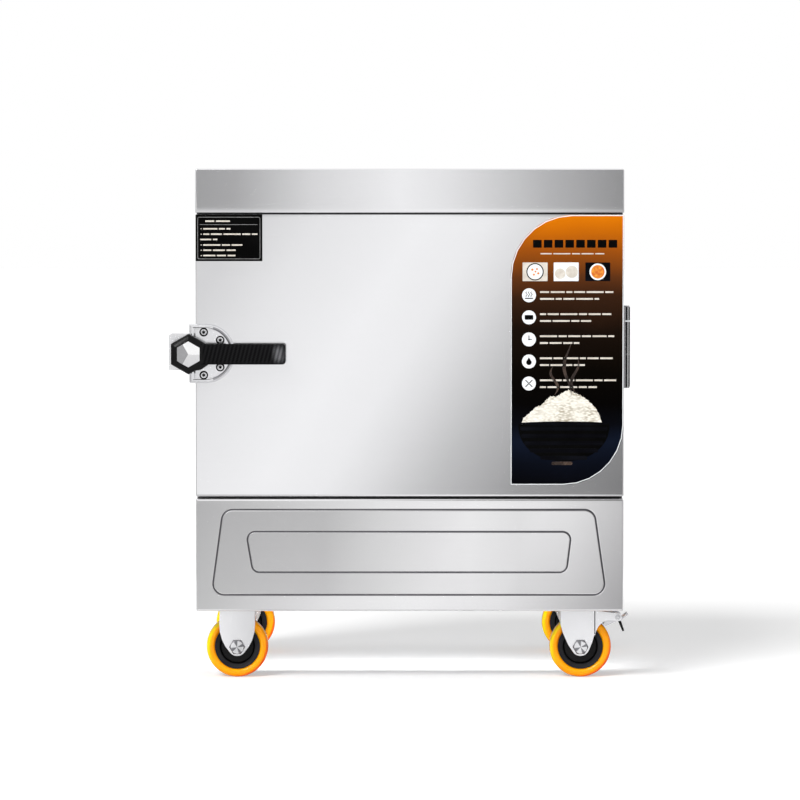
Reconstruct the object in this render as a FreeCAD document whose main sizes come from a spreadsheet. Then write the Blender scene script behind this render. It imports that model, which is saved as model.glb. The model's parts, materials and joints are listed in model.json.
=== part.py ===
import FreeCAD, Part
import math
import os
from types import SimpleNamespace

import Sketcher

# A steam cabinet on four castors, for cooking rice in gastronorm style trays.
# Millimetres. X runs to the right, the front faces -Y, Z is up.
# The origin is on the floor, under the middle of the cabinet.

SIZES = {
    "cabinet_width": (700, "outside width of the cabinet"),
    "cabinet_depth": (520, "door face to back panel"),
    "skin": (1.2, "thickness of the steel sheet"),
    "apron_drop": (17.5, "top of the castor plates down to the lower edge of the cabinet"),
    "front_panel_height": (184.5, "lower front panel"),
    "door_foot_gap": (4, "lower front panel to door"),
    "door_height": (461.5, "height of the door"),
    "door_head_gap": (2.5, "door to header band"),
    "header_band": (72, "height of the header band"),
    "door_thickness": (44, "thickness of the door"),
    "door_gap": (6, "door to front frame, filled by the gasket"),
    "bend_radius": (2.5, "outside radius of a folded edge"),
    "skirt": (26, "how far the cover folds down the sides"),
    "lip": (7, "overlap of a panel behind the cover's skirt"),
    "flange": (20, "folded edge of a panel"),
    "return_fold": (5, "hem along the foot of the front panel"),
    "wall_build": (44, "outside of the cabinet to the chamber"),
    "back_build": (45, "back panel to the chamber"),
    "chamber_sill": (30, "top of the lower panel to the chamber's floor"),
    "chamber_head": (24, "chamber's ceiling to the header's lower edge"),
    "frame_overlap": (24, "how far the front frame rises behind the header"),
    "service_sill": (18, "lower edge of the service opening over the frame's edge"),
    "slack": (0.3, "gap between pieces that do not touch"),
    "running": (0.05, "radial clearance of a shaft in its hole"),
    "bottom_rise": (72, "chamber's floor to the rim of the lowest tray"),
    "top_headroom": (48, "rim of the highest tray to the ceiling"),
    "tray_height": (48, "depth of a tray"),
    "tray_sheet": (1, "thickness of a tray"),
    "tray_rim": (10, "width of a tray's rim"),
    "tray_corner": (24, "corner radius of a tray"),
    "tray_side_gap": (6, "tray to chamber wall"),
    "tray_front_gap": (10, "tray to the front frame"),
    "tray_back_gap": (15, "tray to the chamber's back"),
    "rack_sheet": (1.5, "thickness of the racks"),
    "ledge": (14, "width of a rack's ledge"),
    "tank_rise": (29, "top of the base frame to the underside of the tank"),
    "tank_sheet": (1.5, "thickness of the tank"),
    "tank_side": (26, "chamber wall to tank wall"),
    "tank_front": (25, "front frame to tank wall"),
    "tank_back": (25, "chamber's back to tank wall"),
    "tank_flange": (15, "flange around the tank's mouth"),
    "baffle_rise": (12, "chamber's floor to the baffle"),
    "baffle_side": (30, "open slot at each side of the baffle"),
    "baffle_hole": (11, "radius of a hole in the baffle"),
    "element_radius": (5.5, "radius of a heating tube"),
    "element_gap": (60, "spacing of the two legs of a heating tube"),
    "element_length": (330, "length of a heating tube"),
    "element_pitch": (150, "spacing of the heating tubes"),
    "element_height": (52, "tank floor to the heating tubes"),
    "element_plug": (46, "radius of a heating tube's flange"),
    "rail": (30, "height of the base rails"),
    "rail_sheet": (3, "thickness of the base rails"),
    "rail_foot": (40, "width of a rail's lower leg"),
    "crown_gap": (15.4, "top of a wheel to its fork's crown"),
    "castor_inset": (60, "castor centre from the front and back"),
    "castor_side_left": (65.6, "rigid castor from the left side"),
    "castor_side_right": (68.5, "swivel castor from the right side"),
    "channel_width": (76, "width of the castor channels"),
    "bearer_width": (25, "width of a tank bearer"),
    "bearer_spread": (110, "tank bearer from the middle"),
    "wheel_radius": (50.8, "radius of a castor wheel"),
    "core_radius": (36.9, "radius of the wheel's core"),
    "tread_width": (30, "width of the tread"),
    "hub_width": (36, "width of the wheel's hub"),
    "core_web": (24, "width of the core between hub and rim"),
    "core_groove": (27.5, "radius of the groove in the core"),
    "axle_radius": (6, "radius of an axle"),
    "fork_inside": (39, "gap between the fork's legs"),
    "fork_sheet": (2.5, "thickness of a fork"),
    "fork_end": (15, "radius of the fork's round end"),
    "fork_width": (59, "width of a rigid fork"),
    "fork_waist": (38, "axle to the widest part of a rigid fork"),
    "plate_length": (95, "length of a castor plate"),
    "plate_width": (67, "width of a castor plate"),
    "plate_thickness": (3, "thickness of a castor plate"),
    "bolt_pitch_long": (74, "castor bolts along the plate"),
    "bolt_pitch_wide": (46, "castor bolts across the plate"),
    "bolt_radius": (4, "radius of a castor bolt"),
    "bolt_head": (6.5, "radius of a castor bolt's head"),
    "trail": (24, "swivel axis to wheel centre"),
    "race_radius": (30, "radius of the swivel race"),
    "kingpin_radius": (6, "radius of the king pin"),
    "race_height": (8, "swivel race between plate and fork"),
    "fork_front": (23, "swivel axle to the fork's straight edge"),
    "fork_rear": (33, "swivel axle to the fork's leaning edge"),
    "fork_knee": (37.4, "swivel axle up to where the fork starts to lean"),
    "pedal_out": (10.7, "wheel's side out to the brake's pivot"),
    "pedal_under": (1.8, "wheel's top down to the brake's pivot"),
    "pedal_pin": (3, "radius of the brake's pin"),
    "hinge_rise": (178, "lower edge of the door to the lower end of the hinge"),
    "hinge_length": (131, "length of the hinge"),
    "hinge_lower_knuckle": (53.5, "length of the lower knuckle"),
    "hinge_upper_knuckle": (23, "length of the upper knuckle"),
    "barrel_radius": (6, "radius of the hinge's barrel"),
    "hinge_pin_radius": (3.5, "radius of the hinge pin"),
    "leaf_thickness": (2, "thickness of a hinge leaf"),
    "leaf_width": (42, "width of a hinge leaf from the pin"),
    "latch_rise": (234.4, "lower edge of the door to the latch's pivot"),
    "latch_outside": (10.3, "latch pivot beyond the cabinet's side"),
    "latch_plate_height": (97.2, "height of the latch's base plate"),
    "latch_plate_reach": (74.7, "length of the latch's base plate"),
    "latch_plate_thickness": (9, "thickness of the latch's base plate"),
    "latch_plate_bevel": (5, "bevel of the latch's base plate"),
    "hub_flat": (28.8, "centre of the lever's hub to a flat"),
    "hub_depth": (27, "depth of the lever's hub"),
    "hub_bevel": (5, "bevel of the lever's hub"),
    "lever_length": (157.5, "latch pivot to the lever's end"),
    "lever_width": (33.6, "width of the lever"),
    "lever_thickness": (11, "thickness of the lever"),
    "lever_standoff": (24, "door face to the lever"),
    "insert_flat": (18.8, "centre of the hub's insert to a flat"),
    "insert_rise": (5, "height of the insert's point"),
    "spindle_radius": (6, "radius of the latch's spindle"),
    "cam_width": (16, "width of the latch's cam"),
    "cam_thickness": (6, "thickness of the latch's cam"),
    "keeper_reach": (45, "keeper beyond the cabinet's side"),
    "keeper_height": (57, "height of the keeper"),
    "keeper_sheet": (2.5, "thickness of the keeper"),
    "keeper_pin": (3, "radius of the keeper's pin"),
    "roller_radius": (6.5, "radius of the keeper's roller"),
    "gasket_width": (12, "width of the gasket"),
    "gasket_margin": (6, "chamber's edge to the gasket"),
    "float_width": (54, "outside width of the float box"),
    "float_length": (130, "outside length of the float box"),
    "float_height": (105, "outside height of the float box"),
    "float_rise": (22, "top of the lower panel to the top of the float box"),
    "float_ball": (16, "radius of the float"),
    "float_reach": (60, "float arm from pivot to float"),
    "float_drop": (34, "float centre under its arm"),
    "inlet_radius": (10.475, "radius of the half inch inlet thread"),
    "stub": (20, "how far a pipe stands out of the back panel"),
    "drain_radius": (11, "outside radius of the drain pipe"),
    "drain_bore": (9, "inside radius of the drain pipe"),
    "drain_left": (200, "drain to the left of the middle"),
    "drain_drop": (14.5, "underside of the tank to the middle of the drain pipe"),
    "vent_radius": (17, "outside radius of the vent pipe"),
    "vent_bore": (15.5, "inside radius of the vent pipe"),
    "vent_left": (150, "vent to the left of the middle"),
    "vent_drop": (46, "vent under the chamber's ceiling"),
    "box_width": (200, "width of the control box"),
    "box_height": (210, "height of the control box"),
    "box_depth": (70, "depth of the control box"),
    "box_offset": (60, "control box to the right of the middle"),
    "box_rise": (132, "top of the lower panel to the control box"),
    "knob_radius": (19, "radius of the switch knob"),
    "knob_depth": (18, "depth of the switch knob"),
    "knob_shaft": (3, "radius of the knob's shaft"),
    "gland_radius": (12.5, "radius of the cable gland"),
    "gland_bore": (7, "radius of the cable's hole"),
}


class Size:
    """A length that carries its present value and the formula that ties it to the sheet."""

    def __init__(self, text, value):
        self.text = text
        self.value = value

    def join(self, sign, other, value):
        return Size(f"({self.text} {sign} {as_size(other).text})", value)

    def __add__(self, other):
        return self.join("+", other, self.value + as_size(other).value)

    def __sub__(self, other):
        return self.join("-", other, self.value - as_size(other).value)

    def __mul__(self, other):
        return self.join("*", other, self.value * as_size(other).value)

    def __truediv__(self, other):
        return self.join("/", other, self.value / as_size(other).value)

    def __rsub__(self, other):
        return as_size(other) - self

    def __radd__(self, other):
        return as_size(other) + self

    def __rmul__(self, other):
        return self * other

    def __neg__(self):
        return self * -1


def as_size(number):
    return number if isinstance(number, Size) else Size(f"({number})", number)


size = SimpleNamespace(**{name: Size(f"Sizes.{name}", row[0]) for name, row in SIZES.items()})
zero = as_size(0)

# Planes and levels of the cabinet that more than one piece uses
side = size.cabinet_width / 2
front = -size.cabinet_depth / 2
back = size.cabinet_depth / 2
body_front = front + size.door_thickness + size.door_gap
axle_height = size.wheel_radius
crown_low = size.wheel_radius * 2 + size.crown_gap
crown_high = crown_low + size.plate_thickness
plate_low = crown_high + size.race_height
castor_height = plate_low + size.plate_thickness
base_top = castor_height + size.rail
panel_low = castor_height - size.apron_drop
panel_top = panel_low + size.front_panel_height
door_low = panel_top + size.door_foot_gap
door_high = door_low + size.door_height
header_low = door_high + size.door_head_gap
top = header_low + size.header_band
chamber_side = side - size.wall_build
chamber_back = back - size.back_build
chamber_low = panel_top + size.chamber_sill
chamber_high = header_low - size.chamber_head
tank_floor = base_top + size.tank_rise
tank_side = chamber_side - size.tank_side
tank_front = body_front + size.tank_front
tank_back = chamber_back - size.tank_back
tray_side = chamber_side - size.tray_side_gap
tray_front = body_front + size.tray_front_gap
tray_back = chamber_back - size.tray_back_gap
rim_first = chamber_low + size.bottom_rise
rim_last = chamber_high - size.top_headroom
left_castor_x = size.castor_side_left - side
right_castor_x = side - size.castor_side_right
swivel_x = right_castor_x - size.trail
castor_y = back - size.castor_inset
pedal_x = right_castor_x + size.wheel_radius + size.pedal_out
pedal_z = size.wheel_radius * 2 - size.pedal_under
latch_x = -side - size.latch_outside
latch_height = door_low + size.latch_rise
door_back = front + size.door_thickness
hinge_x = side + size.barrel_radius + size.slack
hinge_y = door_back + size.door_gap / 2
hinge_low = door_low + size.hinge_rise
hinge_high = hinge_low + size.hinge_length
keeper_x = -side - size.keeper_reach
keeper_low = latch_height - size.keeper_height / 2
keeper_high = latch_height + size.keeper_height / 2
roller_x = keeper_x + size.roller_radius + 2
roller_y = door_back - size.door_gap
float_x = (tank_side + size.tank_sheet + side - size.skin) / 2
float_top = panel_top + size.float_rise
float_front = tank_back - size.float_length
float_pivot_y = tank_back - 12
inlet_height = float_top - 28
link_y = float_front + 30
link_levels = [float_top - 85, float_top - 35]
element_z = tank_floor + size.element_height
element_places = [-size.element_pitch, zero, size.element_pitch]
element_legs = [-size.element_gap / 2, size.element_gap / 2]
drain_x = -size.drain_left
drain_height = tank_floor - size.drain_drop
drain_turn = tank_back - 40
valve_y = back + 30
valve_top = drain_height + 26
vent_x = -size.vent_left
vent_height = chamber_high - size.vent_drop
box_left = size.box_offset
box_low = panel_top + size.box_rise
box_right = box_left + size.box_width
box_high = box_low + size.box_height
gland_x = box_right - 50
gland_y = back + size.box_depth / 2
knob_x = box_right - 55
knob_z = box_high - 75

TRAY_COUNT = 4
BAFFLE_COLUMNS = 7
BAFFLE_ROWS = 4
# Each pressed line: distances from the panel's sides at its upper and lower end, from the panel's foot
# and from its top, and the corner radius
PRESSED_LINES = [
    (47, 27, 26.5, 18, 16),
    (85, 94, 63.5, 54, 12),
]
LINE_WIDTH = 2.5
LINE_DEPTH = 0.5
SCREW_SHANK = 2.9
SCREW_HEAD = 5.4
SCREW_HEAD_DEPTH = 3
INSERT_SEAT = 4

doc = FreeCAD.newDocument("SteamCabinet")
pieces = {}


def make_sheet():
    """The driving sizes, one to a row, each with its meaning."""
    sheet = doc.addObject("Spreadsheet::Sheet", "Sizes")
    for row, (name, (value, meaning)) in enumerate(SIZES.items(), 1):
        sheet.set(f"A{row}", meaning)
        sheet.set(f"B{row}", str(value))
        sheet.setAlias(f"B{row}", name)
    doc.recompute()


def bind(thing, **lengths):
    """Ties each named property of a thing to its formula."""
    for name, length in lengths.items():
        thing.setExpression(name.replace("__", "."), as_size(length).text)


def ordered(span):
    low, high = (as_size(end) for end in span)
    return (low, high) if low.value <= high.value else (high, low)


def keep(name, thing):
    """Gives a finished sub-part its own name and lists it for writing."""
    thing.Label = name
    pieces[name] = thing
    return thing


def block(x, y, z):
    """A block between a low and a high formula on each axis."""
    box = doc.addObject("Part::Box", "block")
    spans = [ordered(span) for span in (x, y, z)]
    for length, axis, (low, high) in zip(("Length", "Width", "Height"), "xyz", spans):
        bind(box, **{length: high - low, f"Placement__Base__{axis}": low})
    return box


TURN = {
    "x": FreeCAD.Rotation(FreeCAD.Vector(0, 1, 0), 90),
    "y": FreeCAD.Rotation(FreeCAD.Vector(1, 0, 0), -90),
    "z": FreeCAD.Rotation(),
}


def place(thing, x, y, z):
    bind(thing, Placement__Base__x=x, Placement__Base__y=y, Placement__Base__z=z)
    return thing


def rod(axis, across, along, radius):
    """A cylinder: its axis, its place on the other two axes, its span and its radius."""
    cylinder = doc.addObject("Part::Cylinder", "rod")
    low, high = ordered(along)
    cylinder.Placement = FreeCAD.Placement(FreeCAD.Vector(), TURN[axis])
    bind(cylinder, Radius=radius, Height=high - low)
    where = dict(zip([name for name in "xyz" if name != axis], across))
    where[axis] = low
    return place(cylinder, where["x"], where["y"], where["z"])


def tube(axis, across, along, radius, bore):
    return cut(rod(axis, across, along, radius), rod(axis, across, along, bore))


def fuse(*shapes):
    joined = doc.addObject("Part::MultiFuse", "fuse")
    joined.Shapes = list(shapes)
    joined.Refine = True
    return joined


def cut(base, *tools):
    """The base without the tools."""
    carved = doc.addObject("Part::Cut", "cut")
    carved.Base = base
    carved.Tool = tools[0] if len(tools) == 1 else fuse(*tools)
    return carved


def group(*shapes):
    """Like solids that share one name."""
    together = doc.addObject("Part::Compound", "group")
    together.Links = list(shapes)
    return together


def rounded(base, radius, chosen):
    """The base with a fillet on every edge that the test picks."""
    doc.recompute()
    picked = [number for number, edge in enumerate(base.Shape.Edges, 1) if chosen(edge.BoundBox)]
    if not picked:
        raise ValueError("no edge to round on " + base.Label)
    fillet = doc.addObject("Part::Fillet", "rounded")
    fillet.Base = base
    fillet.Edges = [(number, radius.value, radius.value) for number in picked]
    return fillet


def bevelled(base, width, chosen):
    """The base with a chamfer on every edge that the test picks."""
    doc.recompute()
    picked = [number for number, edge in enumerate(base.Shape.Edges, 1) if chosen(edge.BoundBox)]
    if not picked:
        raise ValueError("no edge to bevel on " + base.Label)
    chamfer = doc.addObject("Part::Chamfer", "bevelled")
    chamfer.Base = base
    chamfer.Edges = [(number, width.value, width.value) for number in picked]
    return chamfer


def at(value, size_):
    """Tests whether a coordinate lies on a level."""
    return abs(value - size_.value) < 0.01


def plane_of(body, role):
    return [feature for feature in body.Origin.OriginFeatures if feature.Role == role][0]


def corner(u, v, radius=0):
    """A corner of an outline, sharp or rounded."""
    return SimpleNamespace(kind="corner", u=as_size(u), v=as_size(v), radius=as_size(radius))


def round_end(u, v, radius):
    """An arc about a centre, tangent to the lines before and after it."""
    return SimpleNamespace(kind="centre", u=as_size(u), v=as_size(v), radius=as_size(radius))


def touch_point(start, node, side_):
    """Where a line from a start point touches a round end, on one side."""
    du, dv = start[0] - node.u.value, start[1] - node.v.value
    far = math.hypot(du, dv)
    lean = side_ * math.acos(min(1, node.radius.value / far))
    angle = math.atan2(dv, du) + lean
    return node.u.value + node.radius.value * math.cos(angle), node.v.value + node.radius.value * math.sin(
        angle
    )


def ends_of(nodes, number):
    """First places for where an outline enters and leaves one of its nodes, taken anticlockwise."""
    node = nodes[number]
    before, after = nodes[number - 1], nodes[(number + 1) % len(nodes)]
    point = (node.u.value, node.v.value)
    if node.kind == "centre":
        enter = touch_point((before.u.value, before.v.value), node, 1)
        leave = touch_point((after.u.value, after.v.value), node, -1)
        return enter, leave
    if not node.radius.value:
        return point, point
    reach = []
    for other in (before, after):
        du, dv = other.u.value - point[0], other.v.value - point[1]
        far = math.hypot(du, dv)
        reach.append((du / far, dv / far))
    turn = math.acos(reach[0][0] * reach[1][0] + reach[0][1] * reach[1][1])
    back_off = node.radius.value / math.tan(turn / 2)
    return tuple((point[0] + back_off * u, point[1] + back_off * v) for u, v in reach)


def tie_point(sketch, geometry, position, u, v):
    """Holds one point of a sketch to two formulas."""
    for kind, length in (("DistanceX", u), ("DistanceY", v)):
        rule = Sketcher.Constraint(kind, -1, 1, geometry, position, length.value)
        number = sketch.addConstraint(rule)
        sketch.setExpression(f"Constraints[{number}]", length.text)


def tie_radius(sketch, geometry, radius):
    number = sketch.addConstraint(Sketcher.Constraint("Radius", geometry, radius.value))
    sketch.setExpression(f"Constraints[{number}]", radius.text)


def arc_between(centre, radius, enter, leave):
    first = math.atan2(enter[1] - centre[1], enter[0] - centre[0])
    last = math.atan2(leave[1] - centre[1], leave[0] - centre[0])
    circle = Part.Circle(FreeCAD.Vector(*centre, 0), FreeCAD.Vector(0, 0, 1), radius)
    return Part.ArcOfCircle(circle, first, last)


def corner_centre(point, enter, leave, radius):
    """The centre of a corner's arc, on the line that halves the corner."""
    middle = ((enter[0] + leave[0]) / 2, (enter[1] + leave[1]) / 2)
    du, dv = middle[0] - point[0], middle[1] - point[1]
    half = math.hypot(enter[0] - middle[0], enter[1] - middle[1])
    far = math.hypot(du, dv)
    reach = far + math.sqrt(max(radius**2 - half**2, 0))
    return point[0] + du / far * reach, point[1] + dv / far * reach


def draw(sketch, nodes):
    """Draws a closed convex outline, anticlockwise, with its nodes tied to their formulas."""
    ends = [ends_of(nodes, number) for number in range(len(nodes))]
    count = len(nodes)
    for number in range(count):
        start, stop = ends[number][1], ends[(number + 1) % count][0]
        sketch.addGeometry(Part.LineSegment(FreeCAD.Vector(*start, 0), FreeCAD.Vector(*stop, 0)), False)
    for number, node in enumerate(nodes):
        before, after = (number - 1) % count, number
        enter, leave = ends[number]
        if node.kind == "corner" and not node.radius.value:
            sketch.addConstraint(Sketcher.Constraint("Coincident", before, 2, after, 1))
            tie_point(sketch, after, 1, node.u, node.v)
            continue
        point = (node.u.value, node.v.value)
        radius = node.radius.value
        centre = point if node.kind == "centre" else corner_centre(point, enter, leave, radius)
        arc = sketch.addGeometry(arc_between(centre, radius, enter, leave), False)
        sketch.addConstraint(Sketcher.Constraint("Tangent", before, 2, arc, 1))
        sketch.addConstraint(Sketcher.Constraint("Tangent", arc, 2, after, 1))
        tie_radius(sketch, arc, node.radius)
        if node.kind == "centre":
            tie_point(sketch, arc, 3, node.u, node.v)
            continue
        mark = sketch.addGeometry(Part.Point(FreeCAD.Vector(*point, 0)), True)
        sketch.addConstraint(Sketcher.Constraint("PointOnObject", mark, 1, before))
        sketch.addConstraint(Sketcher.Constraint("PointOnObject", mark, 1, after))
        tie_point(sketch, mark, 1, node.u, node.v)


def new_sketch(body, role, offset):
    """A sketch on one of a body's own origin planes, moved along its normal."""
    sketch = body.newObject("Sketcher::SketchObject", "outline")
    sketch.AttachmentSupport = (plane_of(body, role), [""])
    sketch.MapMode = "FlatFace"
    bind(sketch, AttachmentOffset__Base__z=offset)
    return sketch


def prism(role, nodes, span):
    """An outline on one of the main planes, padded between two levels."""
    low, high = ordered(span)
    body = doc.addObject("PartDesign::Body", "prism")
    towards_front = role == "XZ_Plane"
    sketch = new_sketch(body, role, -low if towards_front else low)
    draw(sketch, nodes)
    pad = body.newObject("PartDesign::Pad", "pad")
    pad.Profile = sketch
    pad.Reversed = towards_front
    bind(pad, Length=high - low)
    return body


def turned(nodes, x, y, z):
    """An outline of radius and place along Y, turned about a line along Y."""
    body = doc.addObject("PartDesign::Body", "turned")
    sketch = new_sketch(body, "XY_Plane", zero)
    draw(sketch, nodes)
    turn = body.newObject("PartDesign::Revolution", "turn")
    turn.Profile = sketch
    turn.ReferenceAxis = (sketch, ["V_Axis"])
    turn.Angle = 360
    return place(body, x, y, z)


def side_panel(name, sign):
    """A side sheet with front, back and bottom flanges and a lip that goes behind the cover's skirt."""
    outer, inner = sign * side, sign * (side - size.skin)
    skirt_low = top - size.skirt
    flange_top = skirt_low - size.flange
    begin, end = body_front + size.skin, back - size.skin
    sheet = block((outer, inner), (begin, end), (panel_low, skirt_low - size.slack))
    turned_in = inner - sign * size.flange
    front_fold = block((inner, turned_in), (begin, begin + size.skin), (base_top + size.skin, flange_top))
    back_fold = block((inner, turned_in), (end, end - size.skin), (base_top + size.skin, flange_top))
    foot = block((outer, turned_in), (begin, end), (panel_low, panel_low + size.skin))
    lip = block(
        (inner, inner - sign * size.skin), (begin, end - size.lip), (skirt_low - size.lip, top - size.skin)
    )
    return keep(name, fuse(sheet, front_fold, back_fold, foot, lip))


def back_panel():
    """The back sheet, with holes for the water inlet, the drain and the vent."""
    skirt_low = top - size.skirt
    sheet = block((-side, side), (back, back - size.skin), (panel_low, skirt_low - size.slack))
    lip_side = side - size.flange
    lip = block(
        (-lip_side, lip_side),
        (back - size.skin, back - size.skin * 2),
        (skirt_low - size.lip, top - size.skin),
    )
    holes = [
        rod(
            "y",
            (float_x, inlet_height),
            (back - size.flange, back + size.flange),
            size.inlet_radius + size.slack,
        ),
        rod(
            "y",
            (drain_x, drain_height),
            (back - size.flange, back + size.flange),
            size.drain_radius + size.slack,
        ),
        rod(
            "y",
            (vent_x, vent_height),
            (back - size.flange, back + size.flange),
            size.vent_radius + size.slack,
        ),
    ]
    return keep("back_panel", cut(fuse(sheet, lip), *holes))


def top_cover():
    """The folded cover: header band, its lower return, top sheet, side skirts and back skirt."""
    block_out = rounded(
        block((-side, side), (front, back), (header_low, top)),
        size.bend_radius,
        lambda box: at(box.YMin, front) and at(box.YMax, front) or at(box.ZMin, top),
    )
    skin = size.skin
    skirt_low = top - size.skirt
    inside_header = block(
        (-side + skin, side - skin), (front + skin, body_front), (header_low + skin, top - skin)
    )
    inside_body = block(
        (-side + skin, side - skin), (body_front, back - skin), (header_low - skin, top - skin)
    )
    below_skirt = block(
        (-side - skin, side + skin), (body_front, back + skin), (header_low - skin, skirt_low)
    )
    return keep("top_cover", cut(block_out, inside_header, inside_body, below_skirt))


def front_frame():
    """The sheet behind the door, with the chamber's mouth and a service opening under it."""
    low, high = base_top, header_low + size.frame_overlap
    sheet = block((-side, side), (body_front, body_front + size.skin), (low, high))
    through = (body_front - size.skin, body_front + size.skin * 2)
    mouth = block((-chamber_side, chamber_side), through, (chamber_low, chamber_high))
    service = block(
        (-chamber_side, chamber_side), through, (low + size.service_sill, panel_top - size.service_sill)
    )
    return keep("front_frame", cut(sheet, mouth, service))


def front_lower_panel():
    """The lower front pan, with two pressed trapezoid lines."""
    skin = size.skin
    pan = rounded(
        block((-side, side), (front, body_front), (panel_low, panel_top)),
        size.bend_radius,
        lambda box: at(box.YMin, front) and at(box.YMax, front),
    )
    inside = (-side + skin, side - skin)
    hollow = block(inside, (front + skin, body_front + skin), (panel_low + skin, panel_top - skin))
    castor_room = block(
        inside, (front + size.return_fold, body_front + skin), (panel_low - skin, panel_low + skin * 2)
    )
    lines = [pressed_line(*sizes) for sizes in PRESSED_LINES]
    return keep("front_lower_panel", cut(pan, hollow, castor_room, *lines))


def pressed_line(at_top, at_foot, under, over, radius):
    """A shallow ring between two rounded trapezoids, given by its distances from the panel's edges."""
    rings = []
    for inset in (0, LINE_WIDTH):
        upper, foot = side - at_top - inset, side - at_foot - inset
        floor, ceiling = panel_low + under + inset, panel_top - over - inset
        bend = radius - inset
        nodes = [corner(-foot, floor, bend), corner(foot, floor, bend)]
        nodes += [corner(upper, ceiling, bend), corner(-upper, ceiling, bend)]
        rings.append(prism("XZ_Plane", nodes, (front - LINE_DEPTH, front + LINE_DEPTH)))
    return cut(*rings)


def chamber_liner():
    """The inner box, open to the front and, over the tank, downwards."""
    skin = size.skin
    out_side = chamber_side + skin
    shell = block(
        (-out_side, out_side),
        (body_front + skin, chamber_back + skin),
        (chamber_low - skin, chamber_high + skin),
    )
    room = block((-chamber_side, chamber_side), (body_front, chamber_back), (chamber_low, chamber_high))
    well = block(
        (-tank_side, tank_side), (tank_front, tank_back), (chamber_low - skin * 2, chamber_low + skin)
    )
    vent = rod("y", (vent_x, vent_height), (chamber_back - skin, chamber_back + skin * 2), size.vent_bore)
    return keep("chamber_liner", cut(shell, room, well, vent))


def cabinet_insulation():
    """The insulation on both sides, above and behind the liner."""
    gap = size.slack
    inner = chamber_side + size.skin + gap
    out = side - size.skin * 2 - gap
    begin = body_front + size.skin * 2 + gap
    end = back - size.skin * 2 - gap
    low, high = chamber_low - size.skin, top - size.skin - gap
    room_top = chamber_high + size.skin + gap
    slab = block((-out, out), (begin, end), (low, high))
    room = block((-inner, inner), (begin - gap, chamber_back + size.skin + gap), (low - gap, room_top))
    vent = rod("y", (vent_x, vent_height), (chamber_back, back), size.vent_radius + gap)
    return keep("cabinet_insulation", cut(slab, room, vent))


def rim_height(level):
    """The top of a tray's rim, counted from the lowest tray."""
    return rim_first + (rim_last - rim_first) / (TRAY_COUNT - 1) * level


def tray_rack(sign):
    """A rack: a sheet on the chamber's wall with a ledge for each tray."""
    wall = sign * (chamber_side - size.slack)
    inner = wall - sign * size.rack_sheet
    begin, end = tray_front + size.slack, tray_back
    shapes = [block((wall, inner), (begin, end), (chamber_low, rim_last + size.ledge))]
    for level in range(TRAY_COUNT):
        upper = rim_height(level) - size.tray_sheet
        shapes.append(
            block((inner, inner - sign * size.ledge), (begin, end), (upper - size.rack_sheet, upper))
        )
    return fuse(*shapes)


def tray(name, level):
    """A pressed pan with a rim that rests on two ledges."""
    rim_top = rim_height(level)
    rim_low = rim_top - size.tray_sheet
    bottom = rim_top - size.tray_height

    def outline(inset, radius):
        x, begin, end = tray_side - inset, tray_front + inset, tray_back - inset
        nodes = [corner(-x, begin, radius), corner(x, begin, radius)]
        return nodes + [corner(x, end, radius), corner(-x, end, radius)]

    wall = size.tray_rim + size.tray_sheet
    rim = prism("XY_Plane", outline(zero, size.tray_corner), (rim_low, rim_top))
    pan = prism("XY_Plane", outline(size.tray_rim, size.tray_corner - 4), (bottom, rim_top))
    room = prism(
        "XY_Plane", outline(wall, size.tray_corner - 5), (bottom + size.tray_sheet, rim_top + size.slack)
    )
    return keep(name, cut(fuse(rim, pan), room))


def water_tank():
    """The tank under the chamber, with a flange around its mouth and holes for pipes and heating tubes."""
    sheet = size.tank_sheet
    floor, mouth = tank_floor, chamber_low - size.skin
    shell = block(
        (-tank_side - sheet, tank_side + sheet), (tank_front - sheet, tank_back + sheet), (floor, mouth)
    )
    flange = block(
        (-tank_side - size.tank_flange, tank_side + size.tank_flange),
        (tank_front - size.tank_flange, tank_back + size.tank_flange),
        (mouth - sheet, mouth),
    )
    room = block((-tank_side, tank_side), (tank_front, tank_back), (floor + sheet, mouth + sheet))
    holes = [rod("z", (drain_x, drain_turn), (floor - sheet, floor + sheet * 2), size.drain_bore)]
    for level in link_levels:
        holes.append(
            rod("x", (link_y, level), (tank_side - sheet, tank_side + sheet * 2), size.drain_bore / 2)
        )
    for x in element_places:
        for leg in element_legs:
            holes.append(
                rod(
                    "y",
                    (x + leg, element_z),
                    (tank_back - sheet, tank_back + sheet * 2),
                    size.element_radius,
                ),
            )
    return keep("water_tank", cut(fuse(shell, flange), room, *holes))


def heating_element(x):
    """A U of heating tube on a round flange behind the tank's back wall, with two terminals."""
    wall = tank_back + size.tank_sheet
    bend = wall - size.element_length
    shapes = [rod("y", (x, element_z), (wall, wall + size.element_radius), size.element_plug)]
    for leg in element_legs:
        shapes.append(rod("y", (x + leg, element_z), (bend, wall + 1), size.element_radius))
        shapes.append(
            rod("y", (x + leg, element_z), (wall, wall + size.element_gap / 2), size.element_radius * 0.6)
        )
    turn = doc.addObject("Part::Torus", "turn")
    turn.Placement = FreeCAD.Placement(FreeCAD.Vector(), FreeCAD.Rotation(FreeCAD.Vector(0, 0, 1), 180))
    turn.Angle3 = 180
    bind(turn, Radius1=size.element_gap / 2, Radius2=size.element_radius)
    shapes.append(place(turn, x, bend, element_z))
    return fuse(*shapes)


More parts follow.
